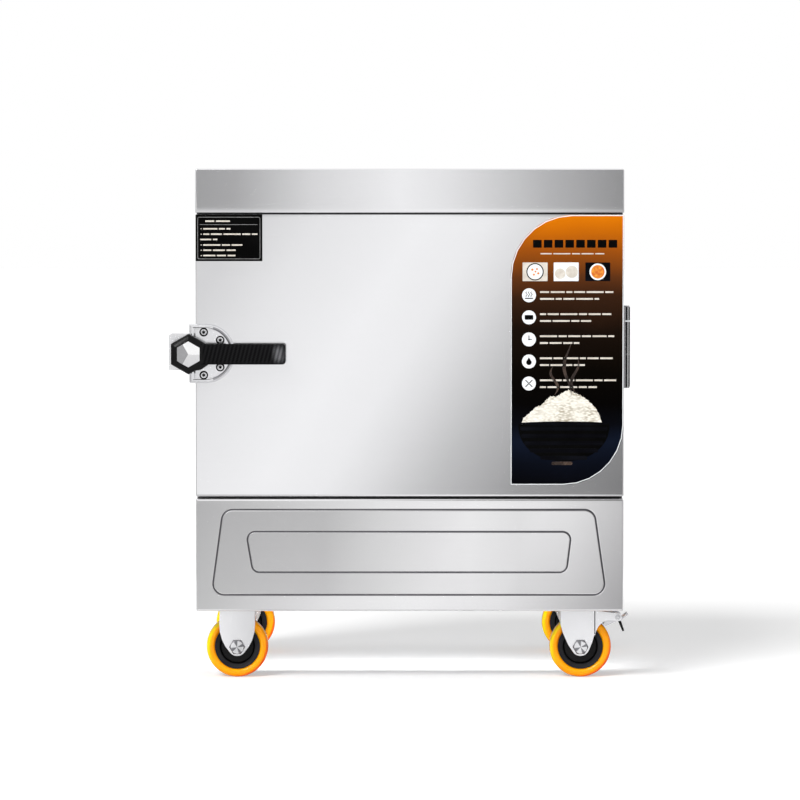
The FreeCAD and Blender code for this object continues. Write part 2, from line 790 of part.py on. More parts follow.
def steam_baffle():
    """A folded, pierced plate over the tank's mouth, with an open slot at each side."""
    x = tank_side - size.baffle_side
    begin, end = tank_front - size.tank_flange / 2, tank_back + size.tank_flange / 2
    upper = chamber_low + size.baffle_rise
    plate = block((-x, x), (begin, end), (upper - size.skin, upper))
    legs = [
        block((-x, x), (begin, begin + size.skin), (chamber_low, upper)),
        block((-x, x), (end, end - size.skin), (chamber_low, upper)),
    ]
    holes = []
    for column in range(BAFFLE_COLUMNS):
        for row in range(BAFFLE_ROWS):
            u = x * ((column * 2 + 1 - BAFFLE_COLUMNS) / BAFFLE_COLUMNS)
            v = begin + (end - begin) * ((row + 0.5) / BAFFLE_ROWS)
            holes.append(rod("z", (u, v), (chamber_low, upper + size.skin), size.baffle_hole))
    return keep("steam_baffle", cut(fuse(plate, *legs), *holes))


def float_box():
    """The box beside the tank, joined to it by two short pipes."""
    sheet = size.tank_sheet
    low = float_top - size.float_height
    x, half = float_x, size.float_width / 2
    begin, end = float_front, float_front + size.float_length
    shell = block((x - half, x + half), (begin, end), (low, float_top))
    room = block(
        (x - half + sheet, x + half - sheet),
        (begin + sheet, end - sheet),
        (low + sheet, float_top + sheet),
    )
    wall = tank_side + size.tank_sheet
    links, bores = [], []
    for level in link_levels:
        links.append(rod("x", (link_y, level), (wall, x - half), size.drain_radius / 2))
        bores.append(rod("x", (link_y, level), (wall - 1, x - half + sheet * 2), size.drain_bore / 2))
    inlet = rod("y", (x, inlet_height), (end - sheet * 2, end + sheet), size.inlet_radius)
    return keep("float_box", cut(fuse(shell, *links), room, inlet, *bores))


def float_box_lid():
    """A lid that drops inside the box's rim."""
    sheet = size.tank_sheet
    x, half = float_x, size.float_width / 2
    begin, end = float_front, float_front + size.float_length
    plate = block((x - half, x + half), (begin, end), (float_top, float_top + sheet))
    inset = sheet + size.slack
    plug = block(
        (x - half + inset, x + half - inset),
        (begin + inset, end - inset),
        (float_top - sheet, float_top),
    )
    return keep("float_box_lid", fuse(plate, plug))


def float_valve():
    """The inlet valve: a threaded shank out through the back panel, with its nut and ears."""
    end = float_front + size.float_length
    inner = end - size.tank_sheet
    shank = tube(
        "y",
        (float_x, inlet_height),
        (inner - 4, back + size.stub),
        size.inlet_radius,
        size.inlet_radius * 0.6,
    )
    nut = tube(
        "y", (float_x, inlet_height), (back, back + 5), size.inlet_radius * 1.5, size.inlet_radius * 0.8
    )
    ears = []
    for sign in (-1, 1):
        x = float_x + sign * 7
        ears.append(
            block((x - 1.5, x + 1.5), (float_pivot_y - 4, inner - 3), (inlet_height - 4, inlet_height + 4))
        )
    pin_hole = rod("x", (float_pivot_y, inlet_height), (float_x - 12, float_x + 12), 1.5 + size.running)
    return keep("float_valve", cut(fuse(shank, nut, *ears), pin_hole))


def float_arm():
    """The float, its drop rod and its arm on a pivot pin."""
    float_y = float_pivot_y - size.float_reach
    pin = rod("x", (float_pivot_y, inlet_height), (float_x - 9, float_x + 9), 1.5)
    arm = block(
        (float_x - 4, float_x + 4), (float_y - 3, float_pivot_y + 2), (inlet_height - 2, inlet_height + 2)
    )
    drop = rod("z", (float_x, float_y), (inlet_height - size.float_drop, inlet_height), 2)
    ball = doc.addObject("Part::Sphere", "ball")
    bind(ball, Radius=size.float_ball)
    place(ball, float_x, float_y, inlet_height - size.float_drop)
    return keep("float_arm", fuse(pin, arm, drop, ball))


def drain_valve_body():
    """The drain: a stub from the tank's floor, a pipe to the back and a ball valve outside."""
    z, radius = drain_height, size.drain_radius
    solid = [
        rod("z", (drain_x, drain_turn), (z - radius, tank_floor), radius),
        rod("y", (drain_x, z), (drain_turn, valve_y + size.stub * 2), radius),
        rod("y", (drain_x, z), (back + 1, back + 8), radius * 1.6),
        rod("y", (drain_x, z), (valve_y - 16, valve_y + 16), radius * 1.5),
        rod("y", (drain_x, z), (valve_y + 17, valve_y + 25), radius * 1.35),
        rod("z", (drain_x, valve_y), (z, valve_top), radius * 0.7),
    ]
    bores = [
        rod("z", (drain_x, drain_turn), (z, tank_floor + 1), size.drain_bore),
        rod("y", (drain_x, z), (drain_turn, valve_y - 10), size.drain_bore),
        rod("y", (drain_x, z), (valve_y + 10, valve_y + size.stub * 2 + 1), size.drain_bore),
        rod("z", (drain_x, valve_y), (valve_top - 10, valve_top + 1), 3 + size.running),
    ]
    return keep("drain_valve_body", cut(fuse(*solid), *bores))


def drain_valve_lever():
    """A flat lever with a stem in the valve's neck; it lies across the pipe when the valve is shut."""
    stem = rod("z", (drain_x, valve_y), (valve_top - 8, valve_top + 3), 3)
    blade = block(
        (drain_x - 8, drain_x + 70), (valve_y - 7, valve_y + 7), (valve_top + size.slack, valve_top + 3)
    )
    return keep(
        "drain_valve_lever", fuse(stem, rounded(blade, size.bend_radius * 2, lambda box: box.ZLength > 1))
    )


def vent_pipe():
    """The steam vent, from the liner's back wall out through the back panel, with a flange outside."""
    out = back + size.stub * 1.5
    pipe = tube(
        "y", (vent_x, vent_height), (chamber_back + size.skin, out), size.vent_radius, size.vent_bore
    )
    flange = tube(
        "y", (vent_x, vent_height), (back, back + 3), size.vent_radius * 1.7, size.vent_radius * 0.95
    )
    return keep("vent_pipe", fuse(pipe, flange))


def control_box():
    """A sheet box on the back panel, open to the back, with a hole for the cable gland."""
    skin = size.skin
    end = back + size.box_depth
    shell = block((box_left, box_right), (back, end), (box_low, box_high))
    room = block(
        (box_left + skin, box_right - skin),
        (back + skin, end + skin),
        (box_low + skin, box_high - skin),
    )
    hole = rod(
        "z", (gland_x, gland_y), (box_low - skin, box_low + skin * 2), size.gland_radius * 0.8
    )
    return keep("control_box", cut(shell, room, hole))


def control_box_cover():
    """The box's cover, with a folded lip inside the box and a hole for the switch."""
    skin, gap = size.skin, size.slack
    end = back + size.box_depth
    plate = block((box_left, box_right), (end, end + skin), (box_low, box_high))
    inset = skin + gap
    lip = block(
        (box_left + inset, box_right - inset), (end - 10, end), (box_low + inset, box_high - inset)
    )
    inner = inset + skin
    room = block(
        (box_left + inner, box_right - inner), (end - 11, end), (box_low + inner, box_high - inner)
    )
    bush = rod("y", (knob_x, knob_z), (end - 12, end), size.knob_shaft * 3)
    hole = rod("y", (knob_x, knob_z), (end - 13, end + skin * 2), size.knob_shaft + size.running)
    return keep("control_box_cover", cut(fuse(plate, cut(lip, room), bush), hole))


def switch_knob():
    """A ribbed knob on a shaft, with a raised grip across it."""
    face = back + size.box_depth + size.skin
    shaft = rod("y", (knob_x, knob_z), (face - 12, face + 2), size.knob_shaft)
    dish = rod("y", (knob_x, knob_z), (face + size.slack, face + 5), size.knob_radius)
    grip = block(
        (knob_x - 4.5, knob_x + 4.5), (face + 4, face + size.knob_depth), (knob_z - 17, knob_z + 17)
    )
    grip = rounded(grip, size.bend_radius, lambda box: box.YLength > 5)
    return keep("switch_knob", fuse(shaft, dish, grip))


def contactor():
    """The switching block for the heating tubes, on the box's back sheet, with its terminal steps."""
    begin = back + size.skin
    x, z = box_left + 55, box_high - 75
    base = block((x - 28, x + 28), (begin, begin + 28), (z - 40, z + 40))
    crown = block((x - 28, x + 28), (begin + 27, begin + 46), (z - 24, z + 24))
    return keep("contactor", fuse(base, crown))


def cable_gland():
    """The gland under the control box, with its bore for the supply cable."""
    low = box_low
    body = fuse(
        rod("z", (gland_x, gland_y), (low - 22, low), size.gland_radius),
        rod("z", (gland_x, gland_y), (low - 8, low), size.gland_radius * 1.25),
        rod("z", (gland_x, gland_y), (low - 1, low + 12), size.gland_radius * 0.8 - size.slack / 3),
    )
    bore = rod("z", (gland_x, gland_y), (low - 23, low + 13), size.gland_bore)
    return keep("cable_gland", cut(body, bore))


def base_frame():
    """Two side rails, two castor channels and two tank bearers, welded together."""
    sheet, low = size.rail_sheet, castor_height
    out = side - size.skin
    shapes = []
    for sign in (-1, 1):
        wall = sign * out
        begin, end = front + size.flange, back - size.flange
        shapes.append(block((wall, wall - sign * sheet), (begin, end), (low, base_top)))
        shapes.append(block((wall, wall - sign * size.rail_foot), (begin, end), (low, low + sheet)))
    for sign in (-1, 1):
        y, half = sign * castor_y, size.channel_width / 2
        shapes.append(block((-out, out), (y - half, y + half), (low, low + sheet)))
        for edge in (-1, 1):
            wall = y + edge * half
            shapes.append(block((-out, out), (wall, wall - edge * sheet), (low, base_top)))
    for sign in (-1, 1):
        y, half = sign * size.bearer_spread, size.bearer_width / 2
        bar = block((-out, out), (y - half, y + half), (low, tank_floor))
        hollow_span = (y - half + sheet, y + half - sheet)
        shapes.append(
            cut(bar, block((-out - 1, out + 1), hollow_span, (low + sheet, tank_floor - sheet)))
        )
    holes = [rod("z", (x, y), (low - 1, low + sheet + 1), size.bolt_radius) for x, y in bolt_places()]
    return keep("base_frame", cut(fuse(*shapes), *holes))


def plate_centres():
    """The middle of each castor's plate: the rigid pair on the left, the swivel pair on the right."""
    return [(x, y) for x in (left_castor_x, swivel_x) for y in (-castor_y, castor_y)]


def bolt_places():
    """The middle of every castor bolt."""
    places = []
    for x, y in plate_centres():
        for u in (-1, 1):
            for v in (-1, 1):
                places.append((x + u * size.bolt_pitch_long / 2, y + v * size.bolt_pitch_wide / 2))
    return places


def castor_bolts():
    """The sixteen bolts through the castor plates into the channels, each with its nut."""
    bolts = []
    low, high = plate_low, castor_height + size.rail_sheet
    for x, y in bolt_places():
        shank = rod("z", (x, y), (low - 1, high + 7), size.bolt_radius - size.running)
        head = rod("z", (x, y), (low - 4, low), size.bolt_head)
        nut = rod("z", (x, y), (high, high + 6), size.bolt_head)
        bolts.append(fuse(shank, head, nut))
    return keep("castor_bolts", group(*bolts))


def hexagon(x, z, flat, first=-90):
    """The corners of a hexagon from the distance of its flats and the angle of its first corner."""
    nodes = []
    for number in range(6):
        angle = math.radians(60 * number + first)
        far = flat / math.cos(math.radians(30))
        nodes.append(corner(x + far * math.cos(angle), z + far * math.sin(angle)))
    return nodes


def leg_spans(y):
    """The two levels along Y that each leg of a fork fills."""
    inner = size.fork_inside / 2
    outer = inner + size.fork_sheet
    return [(y - outer, y - inner), (y + inner, y + outer)]


def castor_plate(x, y):
    """A castor's top plate with its four bolt holes."""
    half_x, half_y = size.plate_length / 2, size.plate_width / 2
    plate = block((x - half_x, x + half_x), (y - half_y, y + half_y), (plate_low, castor_height))
    holes = []
    for u in (-1, 1):
        for v in (-1, 1):
            place_x, place_y = x + u * size.bolt_pitch_long / 2, y + v * size.bolt_pitch_wide / 2
            holes.append(
                rod("z", (place_x, place_y), (plate_low - 1, castor_height + 1), size.bolt_radius)
            )
    return cut(plate, *holes)


# A rigid fork's taper from the axle up: shares of its half width and of the height of its waist.
FORK_TAPER = ((0.654, 0.013), (0.834, 0.289), (0.963, 0.637))
# The same for a swivel fork: shares of its leaning side's reach and of the height of its knee.
KNEE_TAPER = ((0.627, 0.11), (0.879, 0.607))
# The hollow under the brake's ears: shares of the way from the fork's edge and the axle to the pedal's pin.
EAR_CURVE = ((0.03, 0.39), (0.08, 0.56), (0.195, 0.715), (0.365, 0.837), (0.6, 0.9))


def rigid_fork(y):
    """A rigid castor's fork: its plate and two legs that swell and then taper to the axle."""
    x = left_castor_x
    half, neck = size.fork_width / 2, size.fork_width / 2 - 1.5
    bend = size.fork_end * 2
    taper = [(half * share, axle_height + size.fork_waist * rise) for share, rise in FORK_TAPER]
    nodes = [round_end(x, axle_height, size.fork_end)]
    nodes += [corner(x + out, z) for out, z in taper]
    nodes += [
        corner(x + half, axle_height + size.fork_waist, bend),
        corner(x + neck, plate_low + 1),
        corner(x - neck, plate_low + 1),
        corner(x - half, axle_height + size.fork_waist, bend),
    ]
    nodes += [corner(x - out, z) for out, z in reversed(taper)]
    legs = [prism("XZ_Plane", nodes, span) for span in leg_spans(y)]
    return cut(fuse(castor_plate(x, y), *legs), axle_hole(x, y))


def axle_hole(x, y):
    reach = size.fork_inside
    return rod("y", (x, axle_height), (y - reach, y + reach), size.axle_radius + size.running)


def axle(x, y):
    """An axle bolt with a hexagonal head to the front and a nut to the back."""
    face = size.fork_inside / 2 + size.fork_sheet
    head = size.axle_radius * 1.1
    shank = rod("y", (x, axle_height), (y - face - 1, y + face + head), size.axle_radius)
    nodes = hexagon(x, axle_height, size.axle_radius * 1.87, 0)
    first = prism("XZ_Plane", nodes, (y - face - head, y - face))
    nut = prism("XZ_Plane", nodes, (y + face, y + face + head - 1))
    return fuse(shank, first, nut)


def swivel_plate(y):
    """A swivel castor's fixed half: plate, race and king pin with its head under the fork's crown."""
    gap = size.slack
    race = tube(
        "z", (swivel_x, y), (crown_high + gap, plate_low + 1), size.race_radius, size.race_radius * 0.7
    )
    pin = rod("z", (swivel_x, y), (crown_low - 6, plate_low + 1), size.kingpin_radius)
    head = rod("z", (swivel_x, y), (crown_low - 6, crown_low - gap), size.kingpin_radius * 1.6)
    return fuse(castor_plate(swivel_x, y), race, pin, head)


def swivel_fork(name, y, with_brake):
    """A swivel castor's fork: crown, two leaning legs and, on a braked one, the brake's ears."""
    x = right_castor_x
    edge = x + size.fork_front
    width = size.fork_inside / 2 + size.fork_sheet
    crown = [
        rod("z", (swivel_x, y), (crown_low, crown_high), size.race_radius + 1),
        block((swivel_x, edge), (y - width, y + width), (crown_low, crown_high)),
    ]
    leg = [
        round_end(x, axle_height, size.fork_end),
        corner(x + size.fork_front * 0.85, axle_height + size.fork_end * 0.55),
        corner(edge, axle_height + size.fork_end * 1.4),
        corner(edge, crown_low + 1),
        corner(x - size.fork_rear, crown_low + 1),
        corner(x - size.fork_rear, axle_height + size.fork_knee),
    ]
    for share, rise in reversed(KNEE_TAPER):
        leg.append(corner(x - size.fork_rear * share, axle_height + size.fork_knee * rise))
    ear_root = edge - 8
    ear = [corner(ear_root, axle_height + (pedal_z - axle_height) * EAR_CURVE[0][1])]
    for share, rise in EAR_CURVE:
        ear.append(corner(edge + (pedal_x - edge) * share, axle_height + (pedal_z - axle_height) * rise))
    ear += [
        round_end(pedal_x, pedal_z, size.pedal_pin * 2.2),
        corner(ear_root, pedal_z + 12),
    ]
    shapes = list(crown)
    for span in leg_spans(y):
        shapes.append(prism("XZ_Plane", leg, span))
        if with_brake:
            shapes.append(prism("XZ_Plane", ear, span))
    holes = [axle_hole(x, y)]
    pin_radius = size.kingpin_radius + size.running
    holes.append(rod("z", (swivel_x, y), (crown_low - 1, crown_high + 1), pin_radius))
    if with_brake:
        holes.append(
            rod("y", (pedal_x, pedal_z), (y - width - 1, y + width + 1), size.pedal_pin + size.running)
        )
    return keep(name, cut(fuse(*shapes), *holes))


def brake_pedal(y):
    """The brake: a pin through the ears, two tongues to step on and an arm with a shoe near the tread."""
    width = size.fork_inside / 2 + size.fork_sheet
    pin = rod("y", (pedal_x, pedal_z), (y - width - 2, y + width + 2), size.pedal_pin)
    hub = rod("y", (pedal_x, pedal_z), (y - 17, y + 17), size.pedal_pin * 2)
    rivets = [
        rod("y", (pedal_x, pedal_z), (y - width - 2, y - width - 0.3), size.pedal_pin * 1.5),
        rod("y", (pedal_x, pedal_z), (y + width + 0.3, y + width + 2), size.pedal_pin * 1.5),
    ]
    outlines = [
        [(2, -5.5), (4.5, -7), (17.5, 4), (16, 6)],
        [(-1, -3), (8, -24), (11, -23), (4.5, -3)],
        [(-1, 5), (-15, 0), (-24.3, -12.8), (-20.8, -16.3), (2, -5.5)],
    ]
    widths = [17, 15, 12]
    shapes = [pin, hub, *rivets]
    for outline, half in zip(outlines, widths):
        nodes = [corner(pedal_x + u, pedal_z + v) for u, v in outline]
        shapes.append(prism("XZ_Plane", nodes, (y - half, y + half)))
    return keep("brake_pedal_front", fuse(*shapes))


def wheel(tag, x, y):
    """A castor wheel: a moulded core with hub, web and rim, and its tread."""
    core_radius, tread = size.core_radius, size.tread_width / 2
    outline = [
        corner(core_radius, -tread),
        corner(size.wheel_radius, -tread, tread / 2),
        corner(size.wheel_radius, tread, tread / 2),
        corner(core_radius, tread),
    ]
    keep("wheel_tread_" + tag, turned(outline, x, y, axle_height))
    centre = (x, axle_height)
    hub, web = size.hub_width / 2, size.core_web / 2
    rim = tube("y", centre, (y - tread + 1, y + tread - 1), core_radius, size.core_groove + 2)
    disc = rod("y", centre, (y - web + 3, y + web - 3), size.core_groove + 3)
    ring = tube("y", centre, (y - web, y + web), size.core_groove, size.core_groove - 6)
    boss = rod("y", centre, (y - hub, y + hub), size.fork_end)
    bore = rod("y", centre, (y - hub - 1, y + hub + 1), size.axle_radius + size.running)
    keep("wheel_core_" + tag, cut(fuse(rim, disc, ring, boss), bore))


def hinge_leaf(name, towards, knuckles):
    """A leaf flat on a side face, with its knuckles around the pin."""
    far = hinge_y + towards * size.leaf_width
    near = hinge_y + towards * (size.barrel_radius + 2)
    x = (side, side + size.leaf_thickness)
    shapes = [block(x, (near, far), (hinge_low, hinge_high))]
    for span in knuckles:
        shapes.append(block(x, (hinge_y, near), span))
        shapes.append(rod("z", (hinge_x, hinge_y), span, size.barrel_radius))
    low, high = hinge_low - 1, hinge_high + 1
    holes = [rod("z", (hinge_x, hinge_y), (low, high), size.hinge_pin_radius + size.running)]
    for height in (0.2, 0.5, 0.8):
        z = hinge_low + size.hinge_length * height
        middle = hinge_y + towards * size.leaf_width * 0.62
        holes.append(
            rod("x", (middle, z), (side - 1, side + size.leaf_thickness + 1), size.hinge_pin_radius * 0.8)
        )
    return keep(name, cut(fuse(*shapes), *holes))


def hinge():
    """The door hinge: two knuckles on the door's leaf, one on the cabinet's, and the pin."""
    lower_end = hinge_low + size.hinge_lower_knuckle
    upper_end = hinge_high - size.hinge_upper_knuckle
    gap = size.slack
    door_spans = [(hinge_low, lower_end), (upper_end, hinge_high)]
    hinge_leaf("hinge_leaf_door", -1, door_spans)
    hinge_leaf("hinge_leaf_cabinet", 1, [(lower_end + gap, upper_end - gap)])
    pin = rod("z", (hinge_x, hinge_y), (hinge_low - 2, hinge_high + 2), size.hinge_pin_radius)
    heads = [
        rod(
            "z", (hinge_x, hinge_y), (hinge_low - 2.5, hinge_low - gap), size.barrel_radius * 0.85
        ),
        rod("z", (hinge_x, hinge_y), (hinge_high + gap, hinge_high + 2.5), size.barrel_radius * 0.85),
    ]
    return keep("hinge_pin", fuse(pin, *heads))


def door():
    """The door: a folded outer skin, an inner pan set into it, the filling between them and the gasket."""
    skin, gap = size.skin, size.slack
    shell = rounded(
        block((-side, side), (front, door_back), (door_low, door_high)),
        size.bend_radius,
        lambda box: at(box.YMin, front) and at(box.YMax, front),
    )
    hollow = block(
        (-side + skin, side - skin), (front + skin, door_back + skin), (door_low + skin, door_high - skin)
    )
    keep("door_outer_skin", cut(shell, hollow))
    fold = door_back - size.flange
    pan = block((-side + skin, side - skin), (fold, door_back), (door_low + skin, door_high - skin))
    inset = skin * 2
    inside = (-side + inset, side - inset)
    keep(
        "door_inner_skin",
        cut(pan, block(inside, (fold - 1, door_back - skin), (door_low + inset, door_high - inset))),
    )
    inset = skin * 2 + gap
    filling = block(
        (-side + inset, side - inset),
        (front + skin, door_back - skin),
        (door_low + inset, door_high - inset),
    )
    keep("door_insulation", filling)
    inner_x, inner_low = chamber_side + size.gasket_margin, chamber_low - size.gasket_margin
    inner_high = chamber_high + size.gasket_margin
    width = size.gasket_width
    outer_x = inner_x + width
    span = (door_back, body_front - gap)
    ring = block((-outer_x, outer_x), span, (inner_low - width, inner_high + width))
    opening = block((-inner_x, inner_x), (door_back - 1, body_front), (inner_low, inner_high))
    return keep("door_gasket", cut(ring, opening))


def screw_places():
    """The middle of each screw of the latch's base plate."""
    reach, rise = size.latch_plate_reach, size.latch_plate_height
    places = []
    for u, v in ((0.32, 0.36), (0.68, 0.226)):
        for sign in (-1, 1):
            places.append((latch_x + reach * u, latch_height + rise * v * sign))
    return places


def latch_base():
    """The latch's base: a plate with a round end and a bevelled rim, and a boss for the spindle."""
    z, half = latch_height, size.latch_plate_height / 2
    face = front - size.latch_plate_thickness
    right = latch_x + size.latch_plate_reach
    bend = half - 0.5
    nodes = [
        corner(latch_x, z - half),
        corner(right, z - half, bend),
        corner(right, z + half, bend),
        corner(latch_x, z + half),
    ]
    plate = prism("XZ_Plane", nodes, (face, front))
    curved = bevelled(
        plate,
        size.latch_plate_bevel,
        lambda box: at(box.YMin, face) and at(box.YMax, face) and box.XMax > latch_x.value + 1,
    )
    boss_radius = size.spindle_radius * 2.4
    boss = rod("y", (latch_x, z), (face, front), boss_radius)
    sleeve = cut(
        rod("y", (latch_x, z), (front, front + size.flange), boss_radius),
        block((-side - size.slack, side), (front - 1, body_front), (z - half, z + half)),
    )
    holes = [rod("y", (latch_x, z), (face - 1, body_front), size.spindle_radius + size.running)]
    for x, height in screw_places():
        holes.append(rod("y", (x, height), (face - 1, front + 1), SCREW_SHANK + size.running))
        holes.append(rod("y", (x, height), (face - 1, face + SCREW_HEAD_DEPTH), SCREW_HEAD + 1.2))
    return keep("latch_base", cut(fuse(curved, boss, sleeve), *holes))


def latch_screws():
    """The four screws of the base plate, each head in its own recess."""
    face = front - size.latch_plate_thickness
    screws = []
    for x, z in screw_places():
        head = rod("y", (x, z), (face, face + SCREW_HEAD_DEPTH), SCREW_HEAD)
        screws.append(fuse(head, rod("y", (x, z), (face + 1, front), SCREW_SHANK)))
    return keep("latch_screws", group(*screws))


def latch_lever():
    """The lever: a hexagonal hub with a bevelled rim and a recess, and the arm."""
    z = latch_height
    hub_back = front - size.latch_plate_thickness - 1
    hub_front = hub_back - size.hub_depth
    hub = bevelled(
        prism("XZ_Plane", hexagon(latch_x, z, size.hub_flat), (hub_front, hub_back)),
        size.hub_bevel,
        lambda box: at(box.YMin, hub_front) and at(box.YMax, hub_front),
    )
    arm_back = front - size.lever_standoff
    half = size.lever_width / 2
    end = latch_x + size.lever_length
    arm = rounded(
        block((latch_x + 12, end), (arm_back - size.lever_thickness, arm_back), (z - half, z + half)),
        size.lever_thickness / 2.5,
        lambda box: box.YLength > 1 and at(box.XMin, end),
    )
    recess = prism(
        "XZ_Plane", hexagon(latch_x, z, size.insert_flat), (hub_front - 1, hub_front + INSERT_SEAT)
    )
    bore = rod(
        "y", (latch_x, z), (hub_front + INSERT_SEAT - 1, hub_back + 1), size.spindle_radius + size.running
    )
    return keep("latch_lever", cut(fuse(hub, arm), recess, bore))


def latch_gem():
    """The hub's insert: a hexagonal block whose top is three planes that meet in a point."""
    hub_front = front - size.latch_plate_thickness - 1 - size.hub_depth
    seat = (hub_front + INSERT_SEAT).value
    flat, rise = size.insert_flat.value - size.slack.value / 3, size.insert_rise.value
    centre_x, centre_z = latch_x.value, latch_height.value
    level = INSERT_SEAT + rise

    def point(angle, far, depth):
        turn = math.radians(angle)
        return FreeCAD.Vector(centre_x + far * math.cos(turn), seat - depth, centre_z + far * math.sin(turn))

    def face(points):
        return Part.Face(Part.makePolygon(points + points[:1]))

    far = flat / math.cos(math.radians(30))
    peak = point(0, 0, level)
    corners = [point(30 + 60 * number, far, level - rise) for number in range(6)]
    feet = [point(30 + 60 * number, far, 0) for number in range(6)]
    middles = [point(120 * number, flat, level - rise / 2) for number in range(3)]
    faces = [face(feet)]
    for number in range(3):
        after = (number + 1) % 3
        first, second, third = (2 * number + step for step in range(3))
        third %= 6
        faces.append(face([peak, middles[number], corners[first], corners[second], middles[after]]))
        faces.append(face([feet[first], feet[second], corners[second], corners[first]]))
        faces.append(face([feet[second], feet[third], corners[third], middles[after], corners[second]]))
    solid = Part.Solid(Part.Shell(faces))
    if solid.Volume < 0:
        solid.reverse()
    insert = doc.addObject("Part::Feature", "insert")
    insert.Shape = solid
    insert.Placement = FreeCAD.Placement()
    return keep("latch_gem", insert)


def latch_spindle():
    """The spindle with its cam, which points to the keeper when the lever lies flat."""
    z = latch_height
    hub_front = front - size.latch_plate_thickness - 1 - size.hub_depth
    cam_begin = roller_y + size.roller_radius + size.slack
    cam_end = cam_begin + size.cam_thickness
    shaft = rod("y", (latch_x, z), (hub_front + INSERT_SEAT + size.slack, cam_end), size.spindle_radius)
    tip = roller_x + size.roller_radius + size.slack * 1.7
    half = size.cam_width / 2
    cam = block((tip, latch_x + size.spindle_radius), (cam_begin, cam_end), (z - half, z + half))
    return keep("latch_spindle", fuse(shaft, cam))


def keeper():
    """The keeper on the cabinet's left side: a bracket with a slot for the spindle, and its roller."""
    sheet = size.keeper_sheet
    begin, end = roller_y - size.roller_radius * 1.7, body_front + size.flange * 3.5
    shell = block((keeper_x, -side), (begin, end), (keeper_low, keeper_high))
    room = block(
        (keeper_x - 1, -side - sheet), (begin + sheet, end + 1), (keeper_low + sheet, keeper_high - sheet)
    )
    half = size.cam_width * 1.2
    slot_left = roller_x + size.roller_radius - 1
    height = (latch_height - half, latch_height + half)
    slot = block((slot_left, -side + 1), (begin - 1, body_front + 7), height)
    relief = block(
        (-side - sheet / 2, -side + 1),
        (begin - 1, body_front - size.slack),
        (keeper_low - 1, keeper_high + 1),
    )
    pin = rod("z", (roller_x, roller_y), (keeper_low, keeper_high), size.keeper_pin)
    keep("keeper_bracket", fuse(cut(shell, room, slot, relief), pin))
    span = (keeper_low + sheet + size.slack, keeper_high - sheet - size.slack)
    roller = tube("z", (roller_x, roller_y), span, size.roller_radius, size.keeper_pin + size.running)
    return keep("keeper_roller", roller)


def build():
    """Builds every sub-part."""
    make_sheet()
    side_panel("side_panel_left", -1)
    side_panel("side_panel_right", 1)
    back_panel()
    top_cover()
    front_frame()
    front_lower_panel()
    chamber_liner()
    cabinet_insulation()
    keep("tray_racks", group(tray_rack(-1), tray_rack(1)))
    for level in range(TRAY_COUNT):
        tray(f"tray_{level + 1}", level)
    water_tank()
    keep("heating_elements", group(*[heating_element(x) for x in element_places]))
    steam_baffle()
    float_box()
    float_box_lid()
    float_valve()
    float_arm()
    drain_valve_body()
    drain_valve_lever()
    vent_pipe()
    control_box()
    control_box_cover()
    switch_knob()
    contactor()
    cable_gland()
    base_frame()
    castor_bolts()
    keep("rigid_castor_forks", group(rigid_fork(-castor_y), rigid_fork(castor_y)))
    keep("rigid_castor_axles", group(axle(left_castor_x, -castor_y), axle(left_castor_x, castor_y)))
    keep("swivel_castor_plates", group(swivel_plate(-castor_y), swivel_plate(castor_y)))
    swivel_fork("swivel_fork_front", -castor_y, True)
    swivel_fork("swivel_fork_back", castor_y, False)
    keep("swivel_axle_front", axle(right_castor_x, -castor_y))
    keep("swivel_axle_back", axle(right_castor_x, castor_y))
    brake_pedal(-castor_y)
    for tag, x, y in (
        ("front_left", left_castor_x, -castor_y),
        ("back_left", left_castor_x, castor_y),
        ("front_right", right_castor_x, -castor_y),
        ("back_right", right_castor_x, castor_y),
    ):
        wheel(tag, x, y)
    hinge()
    door()
    latch_base()
    latch_screws()
    latch_lever()
    latch_gem()
    latch_spindle()
    keeper()


def check_and_write():
    """Stops at a failed object or an unsound shape, and writes each sub-part to its own file."""
    doc.recompute()
    failed = [thing.Label for thing in doc.Objects if {"Invalid", "Error"} & set(thing.State)]
    if failed:
        raise ValueError("failed objects: " + ", ".join(failed))
    for name, thing in pieces.items():
        if thing.Shape.isNull() or not thing.Shape.isValid():
            raise ValueError("unsound shape: " + name)
    os.makedirs("parts", exist_ok=True)
    for name, thing in pieces.items():
        thing.Shape.exportStep(f"parts/{name}.step")
    print(len(pieces), "sub-parts written")


build()
check_and_write()
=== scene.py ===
"""Looks of a steam cabinet on castors: steel cabinet, door with lever latch and printed film, castors, inside.

Everything is in metres. X runs to the right, the door faces -Y, Z is up and the floor is at Z = 0.
"""

import json
import logging
import math
from collections.abc import Callable, Sequence
from dataclasses import dataclass, field
from enum import Enum

import bmesh
import bpy
import numpy as np
from mathutils import Matrix

